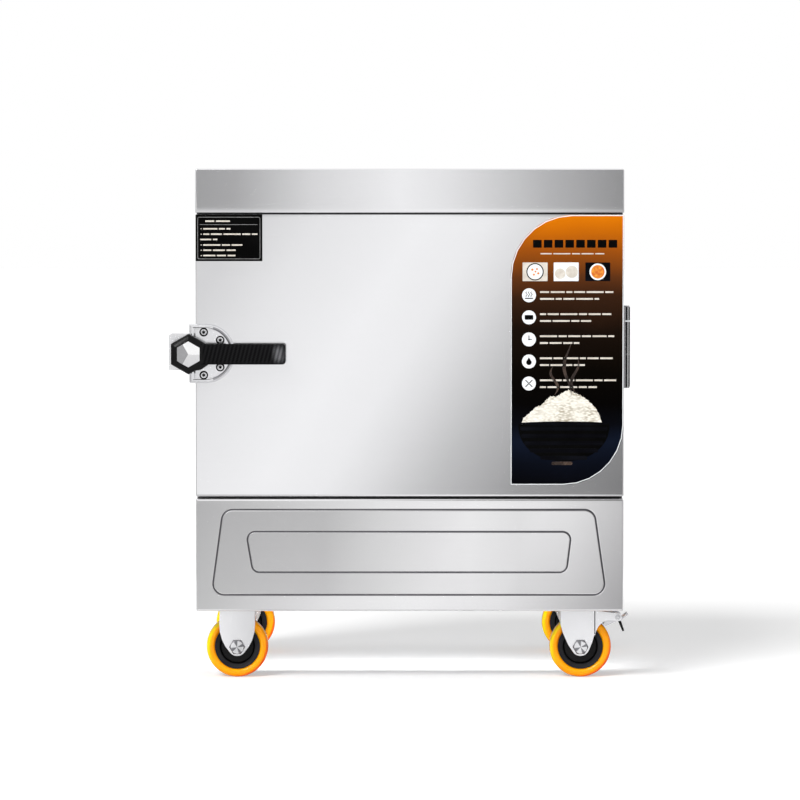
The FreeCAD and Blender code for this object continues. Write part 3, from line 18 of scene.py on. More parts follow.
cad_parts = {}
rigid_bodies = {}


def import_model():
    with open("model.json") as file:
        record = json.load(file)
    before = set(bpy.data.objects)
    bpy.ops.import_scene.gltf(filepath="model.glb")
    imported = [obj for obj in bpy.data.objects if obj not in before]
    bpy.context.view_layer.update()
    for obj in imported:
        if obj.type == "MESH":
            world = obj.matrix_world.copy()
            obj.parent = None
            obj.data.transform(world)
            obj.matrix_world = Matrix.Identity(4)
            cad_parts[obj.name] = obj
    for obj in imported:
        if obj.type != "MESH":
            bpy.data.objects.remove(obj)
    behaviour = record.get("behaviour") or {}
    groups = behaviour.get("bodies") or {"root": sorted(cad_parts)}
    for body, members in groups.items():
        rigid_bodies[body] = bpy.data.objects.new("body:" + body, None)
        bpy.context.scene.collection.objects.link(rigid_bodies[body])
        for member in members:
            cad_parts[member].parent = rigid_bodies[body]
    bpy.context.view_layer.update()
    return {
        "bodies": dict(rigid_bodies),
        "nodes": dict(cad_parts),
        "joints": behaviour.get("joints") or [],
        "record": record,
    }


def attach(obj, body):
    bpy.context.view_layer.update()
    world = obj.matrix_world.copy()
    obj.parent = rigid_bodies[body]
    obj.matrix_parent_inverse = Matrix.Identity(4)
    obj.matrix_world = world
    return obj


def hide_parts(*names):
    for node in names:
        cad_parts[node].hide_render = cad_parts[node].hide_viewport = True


log = logging.getLogger("cabinet")
MM = 0.001
Rgb = tuple[float, float, float]
Layer = tuple[float, float]
Radii = float | Sequence[float]
Part = bpy.types.Object
Socket = bpy.types.NodeSocket
Material = bpy.types.Material


def srgb(red: int, green: int, blue: int) -> Rgb:
    """Linear colour from display values of 0 to 255: a straight part near black, then a power of 2.4.

    Args:
        red: The red value.
        green: The green value.
        blue: The blue value.

    Returns:
        Three linear values.
    """
    scaled = np.array([red, green, blue]) / 255
    linear = np.where(scaled <= 0.04045, scaled / 12.92, ((scaled + 0.055) / 1.055) ** 2.4)
    return tuple(float(value) for value in linear)


def full_turn(steps: int) -> np.ndarray:
    """Even angles of one turn."""
    return np.linspace(0, 2 * math.pi, steps, endpoint=False)


def mm(pairs: Sequence[Layer]) -> list[Layer]:
    """Pairs of millimetres as pairs of metres."""
    return [(first * MM, second * MM) for first, second in pairs]


# ---------------------------------------------------------------- surfaces


class Facing(Enum):
    """The plane in which an outline is drawn; its layers rise along the last axis."""

    FRONT = "front"  # outline in X and Z, layers rise towards -Y
    BACK = "back"  # outline in X and Z, layers rise towards +Y
    UP = "up"  # outline in X and Y, layers rise towards +Z
    RIGHT = "right"  # outline in Y and Z, layers rise towards +X


def to_space(u: np.ndarray, v: np.ndarray, w: np.ndarray, facing: Facing) -> np.ndarray:
    """Places outline coordinates u, v and height w in space.

    Args:
        u: First coordinate of the outline.
        v: Second coordinate of the outline.
        w: Height along the facing direction.
        facing: The plane of the outline.

    Returns:
        An array of points with a last axis of three.
    """
    u, v, w = np.broadcast_arrays(u, v, w)
    if facing is Facing.FRONT:
        return np.stack([u, -w, v], -1)
    if facing is Facing.BACK:
        return np.stack([u, w, v], -1)
    if facing is Facing.UP:
        return np.stack([u, v, w], -1)
    return np.stack([w, u, v], -1)


def outline(corners: Sequence[Layer], radii: Radii, inset: float = 0.0, steps: int = 8) -> np.ndarray:
    """Closed anticlockwise outline whose corners are arcs tangent to both of their sides.

    Each side moves inwards by the inset; an arc of radius r becomes one of radius r - inset about the same centre.

    Args:
        corners: The sharp corners.
        radii: One radius, or one for each corner.
        inset: How far every side moves inwards.
        steps: Points on each arc.

    Returns:
        An array of len(corners) * steps points.
    """
    point = np.asarray(corners, float)
    radius = np.broadcast_to(np.asarray(radii, float), len(point))
    enter = point - np.roll(point, 1, 0)
    leave = np.roll(point, -1, 0) - point
    enter /= np.linalg.norm(enter, axis=1, keepdims=True)
    leave /= np.linalg.norm(leave, axis=1, keepdims=True)
    inward_a = np.stack([-enter[:, 1], enter[:, 0]], 1)
    inward_b = np.stack([-leave[:, 1], leave[:, 0]], 1)
    share = 1 + (inward_a * inward_b).sum(1, keepdims=True)
    moved = point + (inward_a + inward_b) / share * inset
    turn = np.arctan2(enter[:, 0] * leave[:, 1] - enter[:, 1] * leave[:, 0], (enter * leave).sum(1))
    bend = np.maximum(radius - inset * np.sign(turn), 1e-6)
    begin = moved - enter * (bend * np.tan(np.abs(turn) / 2))[:, None]
    centre = begin + inward_a * (bend * np.sign(turn))[:, None]
    angle = turn[:, None] * np.linspace(0, 1, steps)
    arm = (begin - centre)[:, None, :]
    cos, sin = np.cos(angle), np.sin(angle)
    spun = np.stack([arm[..., 0] * cos - arm[..., 1] * sin, arm[..., 0] * sin + arm[..., 1] * cos], -1)
    return (centre[:, None, :] + spun).reshape(-1, 2)


def polar_hexagon(flat: float, segments: int = 48) -> np.ndarray:
    """The radius of a hexagon, with its flats at that distance, at each point of a ring."""
    angle = full_turn(segments)
    return flat / np.cos((angle + math.pi / 6) % (math.pi / 3) - math.pi / 6)


def quarter(depth: float, height: float, steps: int = 5) -> list[Layer]:
    """Layers of a rounded edge: an inset falling to nothing while the height falls by the bevel's depth."""
    angle = np.linspace(0, math.pi / 2, steps)
    return [(depth * (1 - math.sin(a)), height - depth * (1 - math.cos(a))) for a in angle]


class Shell:
    """Gathers grids of points into one mesh."""

    def __init__(self) -> None:
        """Starts with nothing."""
        self.points: list[np.ndarray] = []
        self.faces: list[list[int]] = []
        self.count = 0

    def grid(self, rows: np.ndarray, around: bool = True, ends: tuple[bool, bool] = (False, False)) -> "Shell":
        """Adds a grid of quads between rows of points.

        Args:
            rows: Points as (rows, columns, 3); the next row lies behind the first one seen from outside.
            around: Whether the last column meets the first.
            ends: Whether the first and the last row are closed by one face.

        Returns:
            The shell itself.
        """
        high, wide = rows.shape[:2]
        index = np.arange(high * wide).reshape(high, wide) + self.count
        right = np.roll(index, -1, 1) if around else index[:, 1:]
        left = index if around else index[:, :-1]
        quads = np.stack([left[:-1], left[1:], right[1:], right[:-1]], -1).reshape(-1, 4)
        self.faces += quads.tolist()
        if ends[0]:
            self.faces.append(index[0].tolist())
        if ends[1]:
            self.faces.append(index[-1][::-1].tolist())
        self.points.append(rows.reshape(-1, 3))
        self.count += high * wide
        return self

    def plate(
        self,
        corners: Sequence[Layer],
        radii: Radii,
        layers: Sequence[Layer],
        facing: Facing = Facing.FRONT,
        steps: int = 8,
        ends: tuple[bool, bool] = (True, True),
    ) -> "Shell":
        """Adds a plate: copies of one outline, each with its inset and height, joined in order from the top.

        Args:
            corners: The outline's corners, anticlockwise seen from the side it faces.
            radii: The corners' radii.
            layers: Pairs of inset and height.
            facing: The plane of the outline.
            steps: Points on each corner.
            ends: Whether the first and the last layer are closed.

        Returns:
            The shell itself.
        """
        rings = [outline(corners, radii, inset, steps) for inset, _ in layers]
        rows = np.stack(
            [to_space(ring[:, 0], ring[:, 1], height, facing) for ring, (_, height) in zip(rings, layers)]
        )
        if facing is Facing.BACK:
            rows = rows[:, ::-1]
        return self.grid(rows, True, ends)

    def stack(self, rings: Sequence[tuple[Sequence[Layer], Radii, float, float]]) -> "Shell":
        """Adds a closed skin through outlines that differ.

        Args:
            rings: Corners, radii, inset and height of each outline, from the top.

        Returns:
            The shell itself.
        """
        rows = []
        for corners, radii, inset, height in rings:
            ring = outline(corners, radii, inset)
            rows.append(to_space(ring[:, 0], ring[:, 1], height, Facing.FRONT))
        return self.grid(np.stack(rows), True, (True, True))

    def band(self, corners: Sequence[Layer], radii: Radii, insets: Layer, heights: Layer) -> "Shell":
        """Adds a flat frame between two insets of one outline.

        Args:
            corners: The outline's corners.
            radii: The corners' radii.
            insets: The frame's outer and inner inset.
            heights: Its lower and upper height.

        Returns:
            The shell itself.
        """
        (outer, inner), (low, high) = insets, heights
        order = ((outer, low), (outer, high), (inner, high), (inner, low), (outer, low))
        rings = [(outline(corners, radii, inset), height) for inset, height in order]
        return self.grid(np.stack([to_space(r[:, 0], r[:, 1], h, Facing.FRONT) for r, h in rings][::-1]))

    def flat(self, points: np.ndarray, heights: Layer, facing: Facing = Facing.FRONT) -> "Shell":
        """Adds a thin plate with any outline.

        Args:
            points: The outline's points in order.
            heights: The plate's lower and upper height.
            facing: The plane of the outline.

        Returns:
            The shell itself.
        """
        low, high = heights
        rows = np.stack([to_space(points[:, 0], points[:, 1], height, facing) for height in (high, low)])
        return self.grid(rows, True, (True, True))

    def loft(self, places: Sequence[float], rings: Sequence[np.ndarray]) -> "Shell":
        """Adds a closed bar through outlines at several heights, given from the top down."""
        rows = np.stack([to_space(ring[:, 0], ring[:, 1], place, Facing.RIGHT) for place, ring in zip(places, rings)])
        return self.grid(rows, True, (True, True))

    def lathe(
        self,
        profile: Sequence[tuple[float | np.ndarray, float]],
        centre: tuple[float, float, float],
        axis: str = "y",
        segments: int = 64,
        ends: tuple[bool, bool] = (True, True),
    ) -> "Shell":
        """Adds a turned surface: each pair of radius and position along the axis becomes a ring.

        Args:
            profile: Pairs of radius, or a radius for each point of the ring, and position along the axis.
            centre: The middle of the turning.
            axis: The letter of the axis.
            segments: Points on each ring.
            ends: Whether the first and last ring are closed.

        Returns:
            The shell itself.
        """
        angle = full_turn(segments)
        reach = np.stack([np.broadcast_to(radius, segments) for radius, _ in profile])
        along = np.array([place for _, place in profile], float)
        first, second = reach * np.cos(angle), reach * np.sin(angle)
        third = np.broadcast_to(along[:, None], first.shape)
        order = {"x": (third, first, second), "y": (second, third, first), "z": (first, second, third)}[axis]
        return self.grid(np.stack(order, -1) + np.asarray(centre), True, ends)

    def piece(self, name: str, material: Material, sharp: float = 35.0) -> Part:
        """Makes the mesh object: merged, with its normals out, smooth but for its sharp edges.

        Args:
            name: The object's name.
            material: Its material.
            sharp: The angle in degrees past which an edge stays sharp.

        Returns:
            The object.
        """
        mesh = bpy.data.meshes.new(name)
        mesh.from_pydata(np.concatenate(self.points).tolist(), [], self.faces)
        tidy_mesh(mesh)
        mesh.set_sharp_from_angle(angle=math.radians(sharp))
        mesh.materials.append(material)
        return new_object(name, mesh)


def new_object(name: str, data: bpy.types.ID) -> Part:
    """Puts data into the scene.

    Args:
        name: The object's name.
        data: Its mesh, camera or lamp.

    Returns:
        The object.
    """
    thing = bpy.data.objects.new(name, data)
    bpy.context.scene.collection.objects.link(thing)
    return thing


def bevel(piece: Part, width: float, segments: int, limit: float, hard: bool = False) -> None:
    """Rounds the edges of a piece.

    Args:
        piece: The piece.
        width: The bevel's width.
        segments: Its segments.
        limit: The angle in degrees past which an edge is rounded.
        hard: Whether the flat faces keep their own normals.
    """
    edges = piece.modifiers.new("edges", "BEVEL")
    edges.width, edges.segments, edges.limit_method = width, segments, "ANGLE"
    edges.angle_limit, edges.harden_normals = math.radians(limit), hard


def tidy_mesh(mesh: bpy.types.Mesh, merge: float = 1e-7, flatten: bool = False) -> None:
    """Merges doubles, turns the faces outwards and shades them smooth.

    Args:
        mesh: The mesh.
        merge: The distance under which points are one.
        flatten: Whether faces that lie in one plane are joined.
    """
    work = bmesh.new()
    work.from_mesh(mesh)
    bmesh.ops.remove_doubles(work, verts=work.verts, dist=merge)
    if flatten:
        bmesh.ops.dissolve_limit(work, angle_limit=math.radians(0.5), verts=work.verts, edges=work.edges)
    bmesh.ops.recalc_face_normals(work, faces=work.faces)
    for face in work.faces:
        face.smooth = True
    work.to_mesh(mesh)
    work.free()


def rectangle(low: Layer, high: Layer) -> list[Layer]:
    """The corners of a rectangle, anticlockwise."""
    return [(low[0], low[1]), (high[0], low[1]), (high[0], high[1]), (low[0], high[1])]


def hexagon(centre: Layer, flat: float, lean: float = -90.0) -> list[Layer]:
    """The corners of a hexagon: six points at the flats' distance over the cosine of 30 degrees.

    Args:
        centre: Its middle.
        flat: The distance of its flats.
        lean: The angle of the first corner in degrees.

    Returns:
        The corners, anticlockwise.
    """
    angle = np.radians(lean + 60 * np.arange(6))
    far = flat / math.cos(math.radians(30))
    return [(centre[0] + far * math.cos(a), centre[1] + far * math.sin(a)) for a in angle]


# ---------------------------------------------------------------- shader effects


class Graph:
    """A node tree with short calls for adding and joining nodes."""

    def __init__(self, tree: bpy.types.NodeTree) -> None:
        """Keeps the tree."""
        self.tree = tree

    def add(self, kind: str, sockets: dict[str | int, object] | None = None, **settings: object) -> bpy.types.Node:
        """Adds a node.

        Args:
            kind: The node's type without its common beginning.
            sockets: Values or output sockets for its inputs, by name or number.
            settings: The node's own settings.

        Returns:
            The node.
        """
        node = self.tree.nodes.new("ShaderNode" + kind)
        for name, value in settings.items():
            setattr(node, name, value)
        for name, value in (sockets or {}).items():
            if isinstance(value, Socket):
                self.tree.links.new(value, node.inputs[name])
            else:
                node.inputs[name].default_value = value
        return node

    def math(self, operation: str, *values: object, clamp: bool = False) -> Socket:
        """The result of a sum between values or sockets."""
        node = self.add("Math", dict(enumerate(values)), operation=operation, use_clamp=clamp)
        return node.outputs[0]

    def spread(self, value: object, low: float, high: float, to_low: object = 0.0, to_high: object = 1.0) -> Socket:
        """A value carried smoothly from one range to another."""
        sockets = {"Value": value, "From Min": low, "From Max": high, "To Min": to_low, "To Max": to_high}
        return self.add("MapRange", sockets, interpolation_type="SMOOTHSTEP").outputs["Result"]

    def blend(self, share: object, first: object, second: object, mode: str = "MIX") -> Socket:
        """Two colours mixed by a share.

        Args:
            share: How much of the second colour, from 0 to 1.
            first: The first colour or socket.
            second: The second colour or socket.
            mode: How they are mixed.

        Returns:
            The mixed colour's socket.
        """
        node = self.add("Mix", {0: share}, data_type="RGBA", blend_type=mode)
        for number, value in ((6, first), (7, second)):
            if isinstance(value, Socket):
                self.tree.links.new(value, node.inputs[number])
            else:
                node.inputs[number].default_value = (*value, 1.0)[:4]
        return node.outputs[2]

    def parts(self, vector: Socket) -> Sequence[Socket]:
        """The three parts of a vector."""
        return self.add("SeparateXYZ", {0: vector}).outputs

    def share(self, value: Socket, first: float, last: float) -> Socket:
        """A value carried evenly from a range to 0 to 1."""
        return self.add("MapRange", {0: value, 1: first, 2: last}).outputs[0]

    def ramp(self, share: Socket, stops: Sequence[tuple[float, Rgb]]) -> Socket:
        """A colour that runs through stops.

        Args:
            share: The place on the ramp.
            stops: The place of each stop, from 0 to 1, and its colour.

        Returns:
            The colour's socket.
        """
        node = self.add("ValToRGB", {"Fac": share})
        elements = node.color_ramp.elements
        while len(elements) < len(stops):
            elements.new(0.5)
        for element, (place, colour) in zip(elements, stops):
            element.position, element.color = place, (*colour, 1.0)
        return node.outputs["Color"]

    def shade(self, shader: bpy.types.Node, kind: str = "OutputMaterial") -> None:
        """Joins a shader to the tree's output."""
        self.tree.links.new(shader.outputs[0], self.add(kind).inputs["Surface"])


def fresh_graph(block: Material | bpy.types.World) -> Graph:
    """The emptied node tree of a material or world."""
    block.use_nodes = True
    block.node_tree.nodes.clear()
    return Graph(block.node_tree)


def grey_stops(stops: Sequence[Layer], scale: float = 1.0) -> list[tuple[float, Rgb]]:
    """Stops of a grey ramp from places and brightnesses; the places are carried to 0 to 1."""
    first, last = stops[0][0], stops[-1][0]
    return [((place - first) / (last - first), (level * scale,) * 3) for place, level in stops]


@dataclass(frozen=True)
class Port:
    """A socket of an effect: its name, kind and first value."""

    name: str
    kind: str = "Float"
    value: object = 0.0


class Effect:
    """A shader node group with named inputs and outputs, built once and placed in many materials."""

    built: dict[str, bpy.types.NodeTree] = {}
    name = "effect"
    takes: tuple[Port, ...] = ()
    gives: tuple[Port, ...] = ()

    def wire(self, graph: Graph, source: bpy.types.Node) -> dict[str, Socket]:
        """Builds the inside of the group.

        Args:
            graph: The group's graph.
            source: The node that holds its inputs.

        Returns:
            The sockets for its outputs, by name.
        """
        raise NotImplementedError

    def tree(self) -> bpy.types.NodeTree:
        """The group, made at its first use."""
        if self.name not in Effect.built:
            group = bpy.data.node_groups.new(self.name, "ShaderNodeTree")
            for ports, way in ((self.takes, "INPUT"), (self.gives, "OUTPUT")):
                for port in ports:
                    socket = group.interface.new_socket(port.name, in_out=way, socket_type="NodeSocket" + port.kind)
                    if way == "INPUT" and port.kind != "Color":
                        socket.default_value = port.value
            source, sink = group.nodes.new("NodeGroupInput"), group.nodes.new("NodeGroupOutput")
            for name, socket in self.wire(Graph(group), source).items():
                group.links.new(socket, sink.inputs[name])
            Effect.built[self.name] = group
        return Effect.built[self.name]

    def place(self, graph: Graph, **sockets: object) -> bpy.types.Node:
        """Places the group in a material.

        Args:
            graph: The material's graph.
            sockets: Values or output sockets for the group's inputs, by name.

        Returns:
            The group's node.
        """
        node = graph.tree.nodes.new("ShaderNodeGroup")
        node.node_tree = self.tree()
        for name, value in sockets.items():
            if isinstance(value, Socket):
                graph.tree.links.new(value, node.inputs[name])
            elif node.inputs[name].type == "RGBA":
                node.inputs[name].default_value = (*value, 1.0)[:4]
            else:
                node.inputs[name].default_value = value
        return node


class Grain(Effect):
    """Fine drawn lines: noise stretched along the polishing direction, in two sizes."""

    name = "drawn grain"
    takes = (Port("Vector", "Vector", (0, 0, 0)), Port("Stretch", "Vector", (1, 1, 1)), Port("Scale", value=1.0))
    gives = (Port("Mask"),)

    def wire(self, graph: Graph, source: bpy.types.Node) -> dict[str, Socket]:
        """Multiplies the place by the stretch and averages a coarse and a fine noise."""
        put = source.outputs
        drawn = graph.add("VectorMath", {0: put["Vector"], 1: put["Stretch"]}, operation="MULTIPLY").outputs[0]
        fine = graph.math("MULTIPLY", put["Scale"], 2.7)
        first = graph.add("TexNoise", {"Vector": drawn, "Scale": put["Scale"], "Detail": 3.0, "Roughness": 0.6})
        second = graph.add("TexNoise", {"Vector": drawn, "Scale": fine, "Detail": 2.0})
        total = graph.math("ADD", first.outputs["Fac"], second.outputs["Fac"])
        return {"Mask": graph.math("MULTIPLY", total, 0.5)}


class Clouds(Effect):
    """Soft patches, such as marks left by polishing, wiping or uneven paint."""

    name = "soft patches"
    takes = (
        Port("Vector", "Vector", (0, 0, 0)),
        Port("Scale", value=4.0),
        Port("Low", value=0.35),
        Port("High", value=0.7),
    )
    gives = (Port("Mask"),)

    def wire(self, graph: Graph, source: bpy.types.Node) -> dict[str, Socket]:
        """Warped noise held between two levels."""
        put = source.outputs
        noise = graph.add(
            "TexNoise", {"Vector": put["Vector"], "Scale": put["Scale"], "Detail": 4.0, "Distortion": 0.4}
        )
        return {"Mask": graph.spread(noise.outputs["Fac"], put["Low"], put["High"])}


class Scratches(Effect):
    """Short thin scratches in two directions, from the edges of stretched cells."""

    name = "thin scratches"
    takes = (Port("Vector", "Vector", (0, 0, 0)), Port("Scale", value=30.0), Port("Amount", value=0.3))
    gives = (Port("Mask"),)

    def wire(self, graph: Graph, source: bpy.types.Node) -> dict[str, Socket]:
        """Lines where stretched cells meet, kept only where a large noise is high."""
        put = source.outputs
        lines = []
        for turn, stretch in ((0.5, (1.0, 7.0, 1.0)), (-0.9, (6.0, 1.0, 1.0))):
            leaned = graph.add("Mapping", {"Vector": put["Vector"], "Rotation": (turn, turn, turn), "Scale": stretch})
            cells = graph.add(
                "TexVoronoi", {"Vector": leaned.outputs[0], "Scale": put["Scale"]}, feature="DISTANCE_TO_EDGE"
            )
            lines.append(graph.spread(cells.outputs["Distance"], 0.0, 0.03, 1.0, 0.0))
        patches = graph.add("TexNoise", {"Vector": put["Vector"], "Scale": graph.math("MULTIPLY", put["Scale"], 0.4)})
        kept = graph.spread(patches.outputs["Fac"], 0.5, 0.72)
        both = graph.math("MAXIMUM", *lines)
        return {"Mask": graph.math("MULTIPLY", graph.math("MULTIPLY", both, kept), put["Amount"])}


class Dust(Effect):
    """Dust that lies where a surface looks up, uneven over its area."""

    name = "settled dust"
    takes = (Port("Vector", "Vector", (0, 0, 0)), Port("Scale", value=25.0), Port("Amount", value=0.2))
    gives = (Port("Mask"),)

    def wire(self, graph: Graph, source: bpy.types.Node) -> dict[str, Socket]:
        """The upward part of the face's direction times a noise."""
        put = source.outputs
        normal = graph.add("NewGeometry").outputs["Normal"]
        upward = graph.spread(graph.parts(normal)[2], 0.2, 1.0)
        noise = graph.add("TexNoise", {"Vector": put["Vector"], "Scale": put["Scale"], "Detail": 5.0})
        uneven = graph.spread(noise.outputs["Fac"], 0.3, 0.75, 0.3, 1.0)
        return {"Mask": graph.math("MULTIPLY", graph.math("MULTIPLY", upward, uneven), put["Amount"])}


class Weave(Effect):
    """A twill of narrow ribbons that run on the slant, each crossed by the next."""

    name = "slanting weave"
    takes = (Port("Vector", "Vector", (0, 0, 0)), Port("Pitch", value=0.003))
    gives = (Port("Mask"), Port("Height"))

    def wire(self, graph: Graph, source: bpy.types.Node) -> dict[str, Socket]:
        """Stripes of x + z that change places in each row along z, with rounded ribbons for the height."""
        put = source.outputs
        place = graph.parts(put["Vector"])
        rising = graph.math("DIVIDE", graph.math("ADD", place[0], place[2]), put["Pitch"])
        falling = graph.math("DIVIDE", place[2], graph.math("MULTIPLY", put["Pitch"], 0.8))
        waves = []
        for value in (rising, falling):
            waves.append(graph.math("SINE", graph.math("MULTIPLY", value, 2 * math.pi)))
        over = graph.spread(graph.math("MULTIPLY", *waves), -0.35, 0.35)
        ribbon = graph.math("ABSOLUTE", waves[0])
        crossed = graph.math("ABSOLUTE", waves[1])
        kept = graph.math("MULTIPLY", ribbon, over)
        rest = graph.math("MULTIPLY", crossed, graph.math("SUBTRACT", 1.0, over))
        return {"Mask": over, "Height": graph.math("ADD", kept, rest)}


# ---------------------------------------------------------------- finishes


@dataclass(frozen=True)
class Finish:
    """A surface: its colours, gloss, relief and wear. Lengths are in metres."""

    name: str
    colour: Rgb
    second: Rgb
    metallic: float = 0.0
    gloss: tuple[float, float] = (0.3, 0.4)
    patch: float = 5.0
    stretch: tuple[float, float, float] = (1.0, 1.0, 1.0)
    grain: float = 60.0
    relief: float = 0.00002
    strength: float = 0.15
    streaks: float = 0.0
    scratch: float = 0.0
    scratch_scale: float = 30.0
    dust: float = 0.0
    coat: float = 0.0
    coat_gloss: float = 0.08
    sheen: float = 0.0
    soft: float = 0.0
    level: float = 0.5

    def colour_of(self, graph: Graph, place: Socket, grain: Socket) -> Socket:
        """The colour: patches between both colours, then darker or lighter along the grain.

        Args:
            graph: The material's graph.
            place: The place on the object.
            grain: The mask of the drawn lines.

        Returns:
            The colour's socket.
        """
        patches = Clouds().place(graph, Vector=place, Scale=self.patch, Low=0.3, High=0.7).outputs["Mask"]
        mixed = graph.blend(patches, self.colour, self.second)
        if not self.streaks:
            return mixed
        shade = graph.spread(grain, 0.3, 0.7, 1 - self.streaks, 1 + self.streaks)
        bright = graph.add("CombineColor", {0: shade, 1: shade, 2: shade}).outputs[0]
        return graph.blend(1.0, mixed, bright, "MULTIPLY")

    def relief_of(self, graph: Graph, place: Socket, grain: Socket) -> Socket:
        """The height that the bump reads."""
        return grain

    def build(self) -> Material:
        """The material, made at its first use."""
        if self.name in bpy.data.materials:
            return bpy.data.materials[self.name]
        material = bpy.data.materials.new(self.name)
        graph = fresh_graph(material)
        place = graph.add("TexCoord").outputs["Object"]
        grain = Grain().place(graph, Vector=place, Stretch=self.stretch, Scale=self.grain).outputs["Mask"]
        colour = self.colour_of(graph, place, grain)
        rough = graph.spread(grain, 0.3, 0.7, *self.gloss)
        if self.scratch:
            marks = Scratches().place(graph, Vector=place, Scale=self.scratch_scale, Amount=self.scratch)
            rough = graph.math("ADD", rough, graph.math("MULTIPLY", marks.outputs["Mask"], 0.25))
            colour = graph.blend(marks.outputs["Mask"], colour, tuple(min(1.0, c * 1.25 + 0.02) for c in self.colour))
        metal: object = self.metallic
        if self.dust:
            settled = Dust().place(graph, Vector=place, Amount=self.dust).outputs["Mask"]
            colour = graph.blend(settled, colour, srgb(176, 170, 160))
            rough = graph.math("ADD", rough, graph.math("MULTIPLY", settled, 0.5))
            if self.metallic:
                metal = graph.math("SUBTRACT", self.metallic, settled, clamp=True)
        height = self.relief_of(graph, place, grain)
        bump = graph.add("Bump", {"Height": height, "Strength": self.strength, "Distance": self.relief})
        sockets = {
            "Base Color": colour,
            "Roughness": rough,
            "Metallic": metal,
            "Normal": bump.outputs["Normal"],
            "Coat Weight": self.coat,
            "Coat Roughness": self.coat_gloss,
            "Sheen Weight": self.sheen,
            "Subsurface Weight": self.soft,
            "Subsurface Scale": 0.004,
            "Specular IOR Level": self.level,
        }
        graph.shade(graph.add("BsdfPrincipled", sockets))
        return material


@dataclass(frozen=True)
class WovenFinish(Finish):
    """A black glossy surface over a slanting weave, with a painted highlight that makes it paler across one place."""

    pitch: float = 0.0065
    highlight_at: float = -0.2135
    highlight_width: float = 0.013
    highlight_height: float = 0.5364

    def colour_of(self, graph: Graph, place: Socket, grain: Socket) -> Socket:
        """One colour on the ribbons that lie over, the other on those under them, and a painted highlight near the
        arm's end.
        """
        over = Weave().place(graph, Vector=place, Pitch=self.pitch).outputs["Mask"]
        black = graph.blend(over, self.colour, self.second)
        # Painted highlight: a paler patch across the arm near its end, stronger on the ribbons that lie over.
        parts = graph.parts(place)
        away = graph.math("ABSOLUTE", graph.math("SUBTRACT", parts[0], self.highlight_at))
        aside = graph.math("ABSOLUTE", graph.math("SUBTRACT", parts[2], self.highlight_height))
        across = graph.spread(away, 0, self.highlight_width, 1, 0)
        near = graph.math("MULTIPLY", across, graph.spread(aside, 0.004, 0.017, 1, 0.1))
        uneven = graph.math("ADD", 0.15, graph.math("MULTIPLY", over, 0.35))
        return graph.blend(graph.math("MULTIPLY", near, uneven), black, srgb(150, 150, 154))

    def relief_of(self, graph: Graph, place: Socket, grain: Socket) -> Socket:
        """The ribbons' rounded height."""
        return Weave().place(graph, Vector=place, Pitch=self.pitch).outputs["Height"]


@dataclass(frozen=True)
class PaintedLightFinish(Finish):
    """Metal whose brightness changes along one axis as painted light, painted reflection and painted shade: places
    and factors.
    """

    polish: tuple[Layer, ...] = ()
    axis: int = 0

    def colour_of(self, graph: Graph, place: Socket, grain: Socket) -> Socket:
        """The plain colour times the factor at each place."""
        share = graph.share(graph.parts(place)[self.axis], self.polish[0][0], self.polish[-1][0])
        factor = graph.ramp(share, grey_stops(self.polish))
        return graph.blend(1.0, super().colour_of(graph, place, grain), factor, "MULTIPLY")


@dataclass(frozen=True)
class PaintedRaysFinish(Finish):
    """A turned steel face about an axis along Y with painted reflection: bright and dark rays painted into its
    colour, as such a face mirrors its room.
    """

    centre: Layer = (0.0, 0.0)
    dark: Rgb = (0.1, 0.1, 0.1)

    def colour_of(self, graph: Graph, place: Socket, grain: Socket) -> Socket:
        """The plain colour, darker in four rays of uneven width: a painted reflection."""
        parts = graph.parts(place)
        across = graph.math("SUBTRACT", parts[0], self.centre[0])
        angle = graph.math("ARCTAN2", graph.math("SUBTRACT", parts[2], self.centre[1]), across)
        uneven = graph.math("MULTIPLY", graph.math("SINE", angle), 0.7)
        wave = graph.math("SINE", graph.math("ADD", graph.math("MULTIPLY", angle, 4.0), uneven))
        return graph.blend(graph.spread(wave, -0.1, 0.9), super().colour_of(graph, place, grain), self.dark)


FILM_STOPS = (
    (0.0, 3, 3, 6), (0.08, 8, 11, 20), (0.16, 14, 20, 34), (0.22, 7, 8, 13), (0.3, 4, 3, 3), (0.42, 7, 5, 3),
    (0.57, 20, 12, 7), (0.685, 48, 27, 14), (0.76, 84, 44, 18), (0.87, 142, 71, 13), (0.945, 182, 95, 6),
    (1.0, 204, 110, 4),
)


@dataclass(frozen=True)
class PrintFinish(Finish):
    """A glossy printed film that runs from orange at its top through brown to near black."""

    low: float = 0.321
    high: float = 0.763

    def colour_of(self, graph: Graph, place: Socket, grain: Socket) -> Socket:
        """A ramp over the height, cloudy at its joints, with a blue cast near the foot."""
        z = graph.parts(place)[2]
        drift = graph.add("TexNoise", {"Vector": place, "Scale": 6.0, "Detail": 2.0}).outputs["Fac"]
        uneven = graph.math("MULTIPLY", graph.math("SUBTRACT", drift, 0.5), 0.05)
        share = graph.share(graph.math("ADD", z, uneven), self.low, self.high)
        return graph.ramp(share, [(at, srgb(*tone)) for at, *tone in FILM_STOPS])


@dataclass(frozen=True)
class GrainsFinish(Finish):
    """Many small pale grains, lit from one side."""

    cell: float = 200.0

    def colour_of(self, graph: Graph, place: Socket, grain: Socket) -> Socket:
        """Stretched cells, darker towards their borders and in large hollows."""
        leaned = graph.add("Mapping", {"Vector": place, "Rotation": (0, 0.7, 0), "Scale": (1.0, 1.0, 2.4)})
        cells = graph.add("TexVoronoi", {"Vector": leaned.outputs[0], "Scale": self.cell}, feature="SMOOTH_F1")
        shade = graph.spread(cells.outputs["Distance"], 0.1, 0.75, 0.0, 0.85)
        hollow = Clouds().place(graph, Vector=place, Scale=45.0, Low=0.35, High=0.65).outputs["Mask"]
        dark = graph.math("MULTIPLY", shade, graph.math("ADD", 0.35, graph.math("MULTIPLY", hollow, 0.65)))
        return graph.blend(dark, self.colour, self.second)


